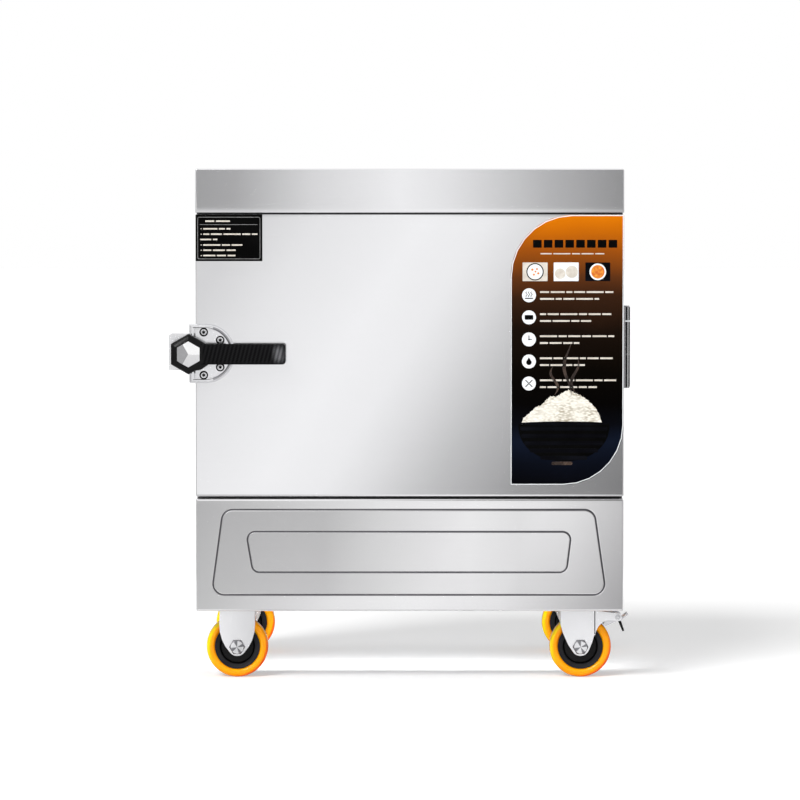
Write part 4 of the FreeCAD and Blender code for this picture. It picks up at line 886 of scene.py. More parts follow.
def like(base: Finish, name: str, *tones: tuple, kind: type[Finish] | None = None, **changes: object) -> Finish:
    """A finish made from another one.

    Args:
        base: The finish that gives all values that aren't changed.
        name: The new finish's name.
        tones: Display values for the colour and the second colour.
        kind: The new finish's class, where it differs.
        changes: Other values that change.

    Returns:
        The new finish.
    """
    colours = {key: srgb(*tone) for key, tone in zip(("colour", "second"), tones)}
    return (kind or type(base))(**{**vars(base), **colours, "name": name, **changes})


LONG_X = (6.0, 420.0, 420.0)
LONG_Y = (420.0, 6.0, 420.0)
# fmt: off
STEEL = Finish(
    "brushed_stainless", srgb(233, 233, 235), srgb(231, 231, 233), 0.93, (0.09, 0.13), 2.5, LONG_X, 1.0,
    0.000008, 0.035, streaks=0.008, scratch=0.03, scratch_scale=14.0, dust=0.04)
SIDE_STEEL = Finish(
    "brushed_stainless_sides", srgb(231, 231, 234), srgb(224, 224, 228), 1.0, (0.22, 0.3), 2.5, LONG_Y, 1.0,
    0.000012, 0.06, streaks=0.015, scratch=0.05, scratch_scale=14.0, dust=0.06)
BACK_STEEL = like(SIDE_STEEL, "brushed_stainless_back", stretch=LONG_X)
PRESSED = like(STEEL, "pressed_stainless", (233, 233, 234), (231, 230, 232))
# Painted reflection: inside the outer pressed line the lower panel is lighter and darker across its width.
PRESSED_MIDDLE = like(
    PRESSED, "pressed_stainless_middle", (246, 246, 247), (244, 243, 245), kind=PaintedLightFinish,
    polish=(
        (-0.36, 0.86), (-0.27, 0.78), (-0.14, 0.65), (-0.08, 0.7), (0.0, 0.77), (0.1, 0.85), (0.18, 0.82),
        (0.26, 0.94), (0.34, 0.98),
    ))
# Painted shade: the frame is dark in the narrow gaps under and over the door.
FRAME_STEEL = like(
    PRESSED, "frame_stainless", kind=PaintedLightFinish, gloss=(0.25, 0.35), axis=2,
    polish=(
        (0.29, 1.0), (0.296, 0.1), (0.304, 0.1), (0.31, 1.0), (0.755, 1.0), (0.761, 0.12), (0.768, 0.12),
        (0.772, 1.0),
    ))
LINER = Finish(
    "satin_stainless", srgb(216, 217, 219), srgb(207, 209, 212), 1.0, (0.3, 0.42), 6.0, LONG_X, 1.2,
    0.00002, 0.12, streaks=0.03, scratch=0.12, scratch_scale=20.0, dust=0.1)
TRAY_STEEL = Finish(
    "tray_stainless", srgb(222, 224, 226), srgb(205, 208, 211), 1.0, (0.2, 0.34), 9.0, LONG_X, 1.6,
    0.00002, 0.12, streaks=0.04, scratch=0.5, scratch_scale=26.0)
FRAME_PAINT = Finish(
    "grey_frame_paint", srgb(126, 129, 134), srgb(112, 115, 121), 0.0, (0.38, 0.52), 8.0, (1, 1, 1), 900.0,
    0.00008, 0.25, scratch=0.35, scratch_scale=25.0, dust=0.25)
ZINC = Finish(
    "zinc_plate", srgb(244, 244, 246), srgb(238, 238, 241), 0.88, (0.2, 0.25), 8.0, (1, 1, 1), 22.0,
    0.000005, 0.02, streaks=0.006, scratch=0.06, scratch_scale=40.0, dust=0.04)
BRAKE_STEEL = like(ZINC, "brake_plate", (226, 226, 229), (214, 214, 218))
HINGE_STEEL = Finish(
    "hinge_steel", srgb(190, 190, 194), srgb(172, 172, 178), 1.0, (0.14, 0.24), 30.0, (420, 420, 8), 1.0,
    0.00001, 0.08, streaks=0.03, scratch=0.3, scratch_scale=60.0)
# Painted reflection: bright and dark stripes down the hinge barrel, fixed across its width.
BARREL = like(
    HINGE_STEEL, "hinge_barrel", (246, 246, 248), (240, 240, 243), kind=PaintedLightFinish,
    polish=(
        (0.3500, 0.03), (0.3526, 0.03), (0.3532, 1.0), (0.3542, 1.0), (0.3548, 0.1), (0.3578, 0.04),
        (0.3584, 1.0), (0.3590, 0.9), (0.3596, 0.06), (0.3624, 0.1),
    ))
BOLT_STEEL = Finish(
    "bolt_steel", srgb(206, 207, 210), srgb(190, 191, 195), 1.0, (0.14, 0.22), 60.0, (1, 1, 1), 400.0,
    0.00002, 0.08, scratch=0.25, scratch_scale=90.0, dust=0.06)
CHROME = Finish(
    "cast_chrome", srgb(240, 240, 242), srgb(228, 228, 231), 0.9, (0.13, 0.18), 10.0, (1, 1, 1), 22.0,
    0.000005, 0.02, streaks=0.006, scratch=0.05, scratch_scale=40.0)
GEM = Finish(
    "satin_insert", srgb(228, 228, 229), srgb(220, 220, 222), 0.95, (0.2, 0.26), 40.0, (1, 1, 1), 40.0,
    0.000005, 0.02, streaks=0.01, scratch=0.06, scratch_scale=70.0)
# Painted shade and painted highlight: a darker and a lighter copy of the insert's finish for two of its facets.
GEM_SHADE = like(GEM, "satin_insert_shade", (180, 180, 182), (168, 168, 170))
GEM_HIGHLIGHT = like(GEM, "satin_insert_painted_highlight", (254, 254, 254), (250, 250, 251), metallic=0.8)
HEATER = Finish(
    "scaled_heating_tube", srgb(150, 148, 144), srgb(196, 190, 178), 0.9, (0.3, 0.6), 45.0, (1, 1, 1), 260.0,
    0.0001, 0.4, streaks=0.1, scratch=0.2, scratch_scale=60.0)
BRASS = Finish(
    "painted_rays_brass", srgb(214, 178, 108), srgb(186, 146, 82), 1.0, (0.2, 0.36), 40.0, (1, 1, 1), 400.0,
    0.00004, 0.18, streaks=0.04, scratch=0.4, scratch_scale=70.0, dust=0.1)
FOAM = Finish(
    "pale_foam", srgb(228, 214, 158), srgb(210, 190, 128), 0.0, (0.85, 0.95), 20.0, (1, 1, 1), 420.0,
    0.0006, 0.6, sheen=0.2)
SILICONE = Finish(
    "grey_silicone", srgb(196, 197, 196), srgb(182, 184, 184), 0.0, (0.42, 0.55), 16.0, (1, 1, 1), 700.0,
    0.00006, 0.2, soft=0.08, dust=0.15)
BLACK = Finish(
    "moulded_black", srgb(34, 34, 36), srgb(27, 27, 29), 0.0, (0.38, 0.5), 30.0, (1, 1, 1), 1100.0,
    0.00008, 0.3, scratch=0.3, scratch_scale=70.0, dust=0.12)
HUB_BLACK = Finish(
    "gloss_black_hub", srgb(11, 11, 12), srgb(8, 8, 9), 0.0, (0.2, 0.28), 60.0, (1, 1, 1), 900.0,
    0.00002, 0.08, scratch=0.03, scratch_scale=70.0, level=0.14)
GREY = Finish(
    "moulded_grey", srgb(178, 180, 182), srgb(164, 166, 170), 0.0, (0.4, 0.52), 30.0, (1, 1, 1), 900.0,
    0.00006, 0.25, dust=0.1)
WOVEN = WovenFinish(
    "woven_black", srgb(4, 4, 5), srgb(26, 26, 27), 0.0, (0.3, 0.42), 20.0, (1, 1, 1), 500.0,
    0.0003, 0.25, scratch=0.02, scratch_scale=60.0, level=0.025)
RED = Finish(
    "red_dip_coat", srgb(176, 34, 26), srgb(150, 24, 20), 0.0, (0.32, 0.46), 60.0, (1, 1, 1), 500.0,
    0.00008, 0.25, dust=0.12)
FLOAT_WHITE = Finish(
    "float_plastic", srgb(226, 227, 222), srgb(206, 205, 194), 0.0, (0.36, 0.5), 50.0, (1, 1, 1), 600.0,
    0.00005, 0.2, soft=0.1)
CORE = Finish(
    "black_nylon_core", srgb(34, 34, 36), srgb(28, 28, 30), 0.0, (0.34, 0.46), 50.0, (1, 1, 1), 700.0,
    0.00004, 0.18, scratch=0.1, scratch_scale=70.0, level=0.12)
CORE_DARK = like(CORE, "black_nylon_web", (16, 16, 17), (12, 12, 13), gloss=(0.36, 0.48), level=0.15)
CORE_EDGE = like(
    CORE, "blue_black_edge", (12, 20, 38), (9, 14, 28), gloss=(0.22, 0.32), strength=0.15, scratch=0.0, level=0.25)
GROOVE = Finish(
    "shaded_groove", srgb(108, 107, 110), srgb(92, 91, 95), 1.0, (0.3, 0.42), 3.0, LONG_X, 1.0,
    0.000012, 0.06, streaks=0.02)
GROOVE_LIGHT = like(GROOVE, "shaded_rim", (178, 178, 181), (150, 150, 154))
FILM_BLACK = Finish(
    "black_film", srgb(4, 4, 4), srgb(8, 8, 8), 0.0, (0.22, 0.3), 12.0, (1, 1, 1), 300.0,
    0.00001, 0.06, scratch=0.02, scratch_scale=60.0, level=0.02)
FILM_PALE = Finish(
    "pale_print", srgb(236, 238, 240), srgb(226, 229, 232), 0.0, (0.24, 0.32), 30.0, (1, 1, 1), 500.0,
    0.00001, 0.08)
FILM_CREAM = like(FILM_PALE, "cream_print", (214, 208, 198), (196, 188, 176), patch=90.0, grain=900.0)
FILM_GREY = like(FILM_CREAM, "grey_print", (128, 128, 128), (104, 104, 104))
FILM_AMBER = like(FILM_CREAM, "amber_print", (196, 92, 20), (226, 150, 40), patch=220.0)
FILM_SLATE = like(
    FILM_CREAM, "slate_print", (12, 13, 18), (7, 7, 10), gloss=(0.22, 0.3), patch=22.0, stretch=(2, 1, 420),
    grain=1.0, streaks=0.3, level=0.02)
FILM_HAZE = like(FILM_CREAM, "haze_print", (74, 58, 48), (34, 24, 20), patch=60.0, grain=60.0)
FILM = PrintFinish(
    "printed_film", (0, 0, 0), (0, 0, 0), 0.0, (0.16, 0.24), 8.0, (1, 1, 1), 300.0, 0.00001, 0.05, level=0.02)
GRAINS = like(
    FILM_PALE, "grain_print", (240, 236, 226), (150, 138, 112), kind=GrainsFinish, patch=60.0, grain=300.0)
# fmt: on

SLOT_FINISHES: dict[str, Finish] = {
    "stainless": STEEL,
    "stainless_pressed": PRESSED,
    "stainless_liner": LINER,
    "tray_steel": TRAY_STEEL,
    "frame_steel": FRAME_PAINT,
    "zinc": ZINC,
    "hinge_steel": HINGE_STEEL,
    "bolt_steel": BOLT_STEEL,
    "brake_steel": BRAKE_STEEL,
    "latch_chrome": CHROME,
    "latch_insert": GEM,
    "heating_tube": HEATER,
    "brass": BRASS,
    "insulation": FOAM,
    "gasket": SILICONE,
    "black_plastic": BLACK,
    "grey_plastic": GREY,
    "lever_black": WOVEN,
    "lever_red": RED,
    "float_plastic": FLOAT_WHITE,
    "wheel_core": CORE,
}


# ---------------------------------------------------------------- the shop that fits pieces to the frame


class Shop:
    """Fits every piece to its body and the node that it stands for, and dresses the nodes that still show."""

    def __init__(self, frame: dict) -> None:
        """Reads the bodies of the nodes and the slot of each node.
        """
        self.nodes: dict[str, Part] = frame["nodes"]
        record = frame["record"]
        self.body_of = {node: body for body, names in record["behaviour"]["bodies"].items() for node in names}
        self.slot_of = {part["node"]: part["material_slot"] for part in record["subparts"]}
        self.kept = set(self.nodes)

    def dress(self) -> None:
        """Gives every node that still shows the finish of its slot."""
        for name in sorted(self.kept):
            finish = SLOT_FINISHES[self.slot_of[name]]
            mesh = self.nodes[name].data
            mesh.materials.clear()
            mesh.materials.append(finish.build())
        log.info("%d CAD nodes dressed", len(self.kept))

    def put(self, piece: Part, like: str, *replaced: str) -> Part:
        """Makes a piece ride with the body of a node and stand for the named nodes.

        Args:
            piece: The finished object.
            like: A node of the same body and slot.
            replaced: Nodes that the piece stands for.

        Returns:
            The piece.
        """
        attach(piece, self.body_of[like])
        if replaced:
            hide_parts(*replaced)
            self.kept -= set(replaced)
        log.info("%s: %d faces on %s", piece.name, len(piece.data.polygons), self.body_of[like])
        return piece

    def add(self, shell: Shell, name: str, finish: Finish, like: str, *replaced: str, sharp: float = 35.0) -> Part:
        """Makes a piece from a shell and puts it."""
        return self.put(shell.piece(name, finish.build(), sharp), like, *replaced)

    def softened(self, node: str, finish: Finish, width: float = 0.5 * MM) -> Part:
        """A merged copy of a node whose edges are bevelled, in place of the node.

        Args:
            node: The node's name.
            finish: The copy's finish.
            width: The bevel's width.

        Returns:
            The copy.
        """
        mesh = self.nodes[node].data.copy()
        mesh.name = node + "_edges"
        tidy_mesh(mesh, 1e-6, True)
        mesh.set_sharp_from_angle(angle=math.radians(32))
        mesh.materials.clear()
        mesh.materials.append(finish.build())
        piece = new_object(node + "_edges", mesh)
        if width:
            bevel(piece, width, 2, 40, True)
        return self.put(piece, node, node)


# ---------------------------------------------------------------- studio


class Studio:
    """Camera, lamps, white surroundings, floor and the soft cards that the steel mirrors."""

    eye = (-0.016, -7.66, 0.838)
    aim = (-0.016, -0.26, 0.4602)
    lens = 203.9

    def look(self, camera: Part, eye: Sequence[float], aim: Sequence[float]) -> None:
        """Points a camera or lamp from one place to another with its top upwards.

        Args:
            camera: The object.
            eye: Where it stands.
            aim: What it points at.
        """
        ahead = np.subtract(aim, eye)
        ahead /= np.linalg.norm(ahead)
        right = np.cross(ahead, (0, 0, 1))
        right /= np.linalg.norm(right)
        turned = np.eye(4)
        turned[:3, :3] = np.stack([right, np.cross(right, ahead), -ahead], 1)
        turned[:3, 3] = eye
        camera.matrix_world = Matrix(turned.tolist())

    def camera(self) -> Part:
        """The photograph's view: from the front, a little above the middle, far away."""
        data = bpy.data.cameras.new("camera")
        data.sensor_width = 36.0
        data.lens = self.lens
        data.clip_end = 60.0
        camera = new_object("camera", data)
        self.look(camera, self.eye, self.aim)
        bpy.context.scene.camera = camera
        return camera

    def lamp(self, name: str, toward: Sequence[float], power: float, spread: float, mirrored: bool = True) -> Part:
        """A far lamp whose light travels in one direction.

        Args:
            name: The lamp's name.
            toward: The way that its light travels.
            power: Its strength.
            spread: The angle in degrees over which its light spreads.
            mirrored: Whether mirrors show it.

        Returns:
            The lamp.
        """
        data = bpy.data.lights.new(name, "SUN")
        data.energy = power
        data.angle = math.radians(spread)
        lamp = new_object(name, data)
        lamp.visible_glossy = mirrored
        self.look(lamp, (0, 0, 0), toward)
        return lamp

    def strip(self, name: str, place: Sequence[float], size: tuple[float, float], power: float) -> Part:
        """A low strip lamp under the cabinet that faces the back wheels and that mirrors leave out.

        Args:
            name: The lamp's name.
            place: Its middle.
            size: Its width and height.
            power: Its strength.

        Returns:
            The lamp.
        """
        data = bpy.data.lights.new(name, "AREA")
        data.shape = "RECTANGLE"
        data.size, data.size_y = size
        data.energy = power
        lamp = new_object(name, data)
        lamp.visible_glossy = lamp.visible_camera = False
        self.look(lamp, place, np.add(place, (0, 1, 0)))
        return lamp

    def surroundings(self) -> None:
        """White for the camera and for mirrors, softer for the light that falls on things."""
        world = bpy.data.worlds.new("surroundings")
        graph = fresh_graph(world)
        path = graph.add("LightPath").outputs
        up = graph.parts(graph.add("TexCoord").outputs["Generated"])[2]
        mirrored = graph.spread(up, -0.25, 0.6, 0.3, 1.0)
        mirrored = graph.math("MULTIPLY", mirrored, path["Is Glossy Ray"])
        plain = graph.math("MAXIMUM", path["Is Camera Ray"], path["Is Transmission Ray"])
        seen = graph.math("MAXIMUM", plain, mirrored)
        soft = graph.math("MULTIPLY", path["Is Diffuse Ray"], 0.5)
        strength = graph.math("MAXIMUM", seen, soft)
        graph.shade(graph.add("Background", {"Color": (1, 1, 1, 1), "Strength": strength}), "OutputWorld")
        bpy.context.scene.world = world

    def floor(self) -> Part:
        """A pale floor that stays white in the open and keeps the shadow of the object."""
        material = bpy.data.materials.new("studio_floor")
        graph = fresh_graph(material)
        path = graph.add("LightPath").outputs
        seen = graph.math("MAXIMUM", path["Is Camera Ray"], path["Is Transmission Ray"])
        place = graph.add("TexCoord").outputs["Object"]
        patches = Clouds().place(graph, Vector=place, Scale=1.5).outputs["Mask"]
        colour = graph.blend(patches, (0.8, 0.8, 0.8), (0.79, 0.79, 0.79))
        plain = graph.add("BsdfDiffuse", {"Color": colour})
        glow = graph.add("Emission", {"Color": (1, 1, 1, 1), "Strength": graph.math("MULTIPLY", seen, 0.3)})
        graph.shade(graph.add("AddShader", {0: plain.outputs[0], 1: glow.outputs[0]}))
        u, v = np.meshgrid(np.linspace(-30, 30, 3), np.linspace(-30, 30, 3), indexing="ij")
        shell = Shell().grid(np.stack([u, v, np.zeros_like(u)], -1), False)
        return shell.piece("studio_floor", material)

    def card(self, name: str, corners: Sequence[Sequence[float]], tone: "Tone") -> Part:
        """A soft card that only mirrors see: no shadow, no light on things, out of the camera's sight.

        Args:
            name: The card's name.
            corners: Four corners in order.
            tone: Its brightness over its area.

        Returns:
            The card.
        """
        a, b, c, d = np.asarray(corners, float)
        s = np.linspace(0, 1, 3)[:, None, None]
        t = np.linspace(0, 1, 3)[None, :, None]
        rows = (a * (1 - s) + b * s) * (1 - t) + (d * (1 - s) + c * s) * t
        thing = Shell().grid(rows, False).piece(name, tone.build(name))
        for ray in ("camera", "diffuse", "shadow", "volume_scatter", "transmission"):
            setattr(thing, "visible_" + ray, False)
        return thing

    def build(self) -> None:
        """Adds camera, surroundings, floor, cards and lamps."""
        self.camera()
        self.surroundings()
        wide, near, foot, top = 0.47, -0.4, -0.08, 0.94
        front = [(-wide, near, foot), (wide, near, foot), (wide, near, top), (-wide, near, top)]
        things = [self.floor(), self.card("front_card", front, Tone(zones=True))]
        for name, x in (("left_card", -1.7), ("right_card", 1.7)):
            things.append(self.card(name, [(x, -0.9, 0.0), (x, 1.4, 0.0), (x, 1.4, 1.4), (x, -0.9, 1.4)], Tone()))
        behind = [(-1.4, 1.7, 0.0), (1.4, 1.7, 0.0), (1.4, 1.7, 1.4), (-1.4, 1.7, 1.4)]
        things.append(self.card("back_card", behind, Tone()))
        things.append(self.lamp("upper_left_lamp", (0.5, 0.75, -0.85), 2.2, 25.0))
        things.append(self.lamp("low_front_lamp", (-0.12, 1.0, -0.05), 1.2, 20.0, False))
        things.append(self.strip("back_wheel_strip", (0.0, -0.12, 0.075), (0.62, 0.03), 1.5))


@dataclass(frozen=True)
class Zone:
    """A part of the front card: how its brightness runs along a slanting line on the drawing sheet."""

    slant: float
    stops: tuple[Layer, ...]

    def build(self, graph: Graph, across: Socket, down: Socket) -> Socket:
        """The brightness at a place.

        Args:
            graph: The card's graph.
            across: The place's first sheet coordinate.
            down: Its second sheet coordinate.

        Returns:
            The brightness's socket.
        """
        line = graph.math("ADD", across, graph.math("MULTIPLY", down, self.slant))
        share = graph.share(line, self.stops[0][0], self.stops[-1][0])
        return graph.math("MULTIPLY", graph.ramp(share, grey_stops(self.stops, 0.5)), 2.0)


HEADER = Zone(0.0, ((190, 0.36), (230, 0.42), (310, 0.78), (400, 1.02), (450, 0.9), (550, 0.5), (630, 0.27)))
DOOR_STOPS = ((380, 0.76), (456, 0.93), (560, 1.05), (625, 1.0), (666, 0.87), (731, 0.6), (823, 0.32), (930, 0.17))
DOOR = Zone(0.62, DOOR_STOPS)
LOWER_STOPS = ((440, 0.47), (520, 0.62), (580, 0.78), (640, 0.94), (725, 1.03), (800, 0.94), (862, 0.68), (930, 0.38))
LOWER = Zone(0.5, LOWER_STOPS)
FEET = Zone(0.5, ((500, 1.05), (530, 1.0), (580, 0.6), (620, 0.8), (860, 0.88), (940, 0.95)))
# The drawing sheet as the front card lies on it: units per metre, the cabinet's middle and the floor.
CARD_SCALE, CARD_MIDDLE, CARD_FLOOR = 600.9, 409.6, 672.3
# Heights in metres where one zone passes into the next: cover and door, door and lower panel, panel and feet.
ZONE_BORDERS = ((0.7626, 0.7642), (0.291, 0.2886), (0.0985, 0.0965))


@dataclass(frozen=True)
class Tone:
    """The brightness of a card, either plain or in the four zones that the front mirrors."""

    base: float = 0.72
    zones: bool = False

    def build(self, name: str) -> Material:
        """An emission with that brightness.

        Args:
            name: The card's name.

        Returns:
            The material.
        """
        material = bpy.data.materials.new(name)
        graph = fresh_graph(material)
        place = graph.parts(graph.add("TexCoord").outputs["Object"])
        level: object = graph.spread(place[2], 0.0, 1.4, self.base * 0.6, self.base * 1.2)
        if self.zones:
            across = graph.math("ADD", graph.math("MULTIPLY", place[0], CARD_SCALE), CARD_MIDDLE)
            down = graph.math("SUBTRACT", CARD_FLOOR, graph.math("MULTIPLY", place[2], CARD_SCALE))
            header, level, *lower = (zone.build(graph, across, down) for zone in (HEADER, DOOR, LOWER, FEET))
            shares = [graph.spread(place[2], *border) for border in ZONE_BORDERS]
            for share, other in zip(shares, (header, *lower)):
                level = graph.add("Mix", {0: share, 2: level, 3: other}).outputs[0]
        graph.shade(graph.add("Emission", {"Color": (1, 1, 1, 1), "Strength": level}))
        return material


# ---------------------------------------------------------------- cabinet and door


Chooser = Callable[[np.ndarray], np.ndarray]


def ring(centre: Sequence[float], low: float, high: float = math.inf) -> Chooser:
    """Chooses faces by their distance from an axis along Y.

    Args:
        centre: The axis's X first and its Z last.
        low: The smallest distance in millimetres.
        high: The largest.

    Returns:
        The chooser.
    """

    def chosen(middle: np.ndarray) -> np.ndarray:
        """Whether each centre lies between the two distances."""
        away = np.hypot(middle[:, 0] - centre[0], middle[:, 2] - centre[-1])
        return (away > low * MM) & (away < high * MM)

    return chosen


def tint(piece: Part, finish: Finish, *choosers: Chooser) -> Part:
    """Gives a second finish to some faces of a piece.

    Args:
        piece: The piece.
        finish: The finish.
        choosers: Each picks faces by their centres.

    Returns:
        The piece.
    """
    mesh = piece.data
    centres = np.empty(len(mesh.polygons) * 3)
    mesh.polygons.foreach_get("center", centres)
    mesh.materials.append(finish.build())
    present = np.zeros(len(mesh.polygons), np.int32)
    mesh.polygons.foreach_get("material_index", present)
    for chooser in choosers:
        present[chooser(centres.reshape(-1, 3))] = len(mesh.materials) - 1
    mesh.polygons.foreach_set("material_index", present)
    mesh.update()
    return piece


@dataclass
class Cabinet:
    """The sheet steel outside: cover, lower panel with two pressed lines, door skin and frame."""

    shop: Shop
    front: float = 260 * MM
    sheet: float = 1.2 * MM
    inner_line: tuple[Layer, ...] = ((-257.0, 177.4), (256.8, 177.4), (265.0, 244.2), (-268.5, 244.2))
    outer_line: tuple[Layer, ...] = ((-325.0, 140.3), (322.0, 140.3), (302.0, 280.4), (-306.0, 280.4))

    def build(self) -> None:
        """Makes the panels."""
        self.lower_panel()
        self.door_skin()
        for node in ("top_cover", "control_box", "control_box_cover"):
            self.shop.softened(node, BACK_STEEL if "box" in node else STEEL, 0.8 * MM)
        for node in ("side_panel_left", "side_panel_right", "back_panel"):
            self.shop.softened(node, BACK_STEEL if node == "back_panel" else SIDE_STEEL, 0.5 * MM)
        for node, finish in (
            ("front_frame", FRAME_STEEL),
            ("door_inner_skin", LINER),
            ("chamber_liner", LINER),
            ("tray_racks", LINER),
            ("water_tank", LINER),
            ("float_box", LINER),
            ("base_frame", FRAME_PAINT),
        ):
            self.shop.softened(node, finish, 0.4 * MM)

    def panel_rings(self, low: Layer, high: Layer, depth: float, pressed: list) -> list:
        """Rings of a pan: its face from the middle outwards, rounded edge, side, hem and inside.

        Args:
            low: Lowest corner of the face in X and Z.
            high: Highest corner.
            depth: How far the sides run back.
            pressed: Rings in the middle of the face that come first.

        Returns:
            The rings for Shell.stack.
        """
        box, top, hem, bend = rectangle(low, high), self.front, 9 * MM, 2.2 * MM
        back, sheet = top - depth, self.sheet
        outer = [(box, bend, bend + 1.2 * MM, top)]
        outer += [(box, bend, inset, height) for inset, height in quarter(bend, top, 6)]
        outer += [(box, bend, 0.0, back + 0.6 * MM), (box, bend, 0.6 * MM, back), (box, bend, hem, back)]
        inner = [(box, bend, hem, back + sheet), (box, bend, sheet, back + sheet)]
        inner += [(box, bend, sheet, top - bend), (box, bend, sheet + 1.5 * MM, top - sheet)]
        return pressed + outer + inner

    def lower_panel(self) -> Part:
        """The panel under the door, with two trapezoid lines pressed into it."""
        low, high = (-350 * MM, 113.5 * MM), (350 * MM, 298 * MM)
        pressed = []
        for corners, radius in ((self.inner_line, 13.0), (self.outer_line, 18.5)):
            line = mm(corners)
            for away, sunk in self.groove():
                pressed.append((line, radius * MM, -away, self.front - sunk))
        piece = Shell().stack(self.panel_rings(low, high, 50 * MM, pressed)).piece("lower_panel", PRESSED.build(), 50)
        # Painted reflection across the middle of the panel; painted shade in the bottoms of the pressed lines.
        tint(tint(piece, PRESSED_MIDDLE, self.in_middle), GROOVE, self.in_groove)
        return self.shop.put(piece, "front_lower_panel", "front_lower_panel")

    def groove(self) -> list[Layer]:
        """A pressed line across its width, from the inside out: distance from its middle, and depth."""
        across = np.array([-3.4, -2.2, -1.5, -0.9, -0.45, 0.45, 0.9, 1.5, 2.2, 3.4])
        sunk = np.array([0.0, 0.0, 0.18, 0.75, 1.0, 1.0, 0.75, 0.18, 0.0, 0.0])
        return [(float(a) * MM, float(s) * MM) for a, s in zip(across, sunk)]

    def in_groove(self, centres: np.ndarray) -> np.ndarray:
        """Faces that lie below the panel's face but near it."""
        sunk = self.front + centres[:, 1]
        inside = (np.abs(centres[:, 0]) < 335 * MM) & (centres[:, 2] > 130 * MM) & (centres[:, 2] < 290 * MM)
        return (sunk > 0.3 * MM) & (sunk < 1.1 * MM) & inside

    def in_middle(self, centres: np.ndarray) -> np.ndarray:
        """Faces of the front inside the outer line."""
        x, z = centres[:, 0], centres[:, 2]
        (low_left, low), (low_right, _), (high_right, high), (high_left, _) = self.outer_line
        rise = (z - low * MM) / (high * MM - low * MM)
        left = low_left * MM + rise * (high_left - low_left) * MM
        right = low_right * MM - rise * (low_right - high_right) * MM
        return (rise > 0) & (rise < 1) & (x > left) & (x < right) & (centres[:, 1] < -self.front + 1.1 * MM)

    def door_skin(self) -> Part:
        """The door's outside, a pan with rounded edges."""
        rings = self.panel_rings((-350 * MM, 302 * MM), (350 * MM, 763.5 * MM), 43.4 * MM, [])
        piece = Shell().stack(rings).piece("door_face", STEEL.build(), 50)
        return self.shop.put(piece, "door_outer_skin", "door_outer_skin")


# The drawing sheet on the cabinet's front: millimetres per unit, the middle, the top, and the top's real height.
SHEET_PITCH, SHEET_MIDDLE, SHEET_TOP, TOP = 1.6391, 409.7, 169, 838


def pixel(x: float, y: float) -> Layer:
    """Place on the cabinet's front, in metres, of a point given on the drawing sheet of 800 by 800."""
    return (x - SHEET_MIDDLE) * SHEET_PITCH * MM, (TOP - (y - SHEET_TOP) * SHEET_PITCH) * MM


def disc(centre: Layer, radius: float, steps: int = 40) -> np.ndarray:
    """Points of a circle in order."""
    angle = full_turn(steps)
    return np.stack([centre[0] + radius * np.cos(angle), centre[1] + radius * np.sin(angle)], 1)


def bar(start: Layer, end: Layer, width: float) -> np.ndarray:
    """Points of a thin rectangle between two places: each place plus and minus half the width sideways.

    Args:
        start: The middle of one end.
        end: The middle of the other end.
        width: Its width.

    Returns:
        Four points.
    """
    a, b = np.array(start), np.array(end)
    side = np.array([a[1] - b[1], b[0] - a[0]]) / np.linalg.norm(b - a) * width / 2
    return np.stack([a - side, b - side, b + side, a + side])


def ray(centre: Layer, angle: float, reach: Layer, width: float) -> np.ndarray:
    """A bar that points away from a centre.

    Args:
        centre: The centre.
        angle: Its direction in degrees.
        reach: Where it starts and ends, in millimetres from the centre.
        width: Its width in millimetres.

    Returns:
        Four points.
    """
    way = np.array([math.cos(math.radians(angle)), math.sin(math.radians(angle))])
    near, far = (np.array(centre) + way * length * MM for length in reach)
    return bar(near, far, width * MM)


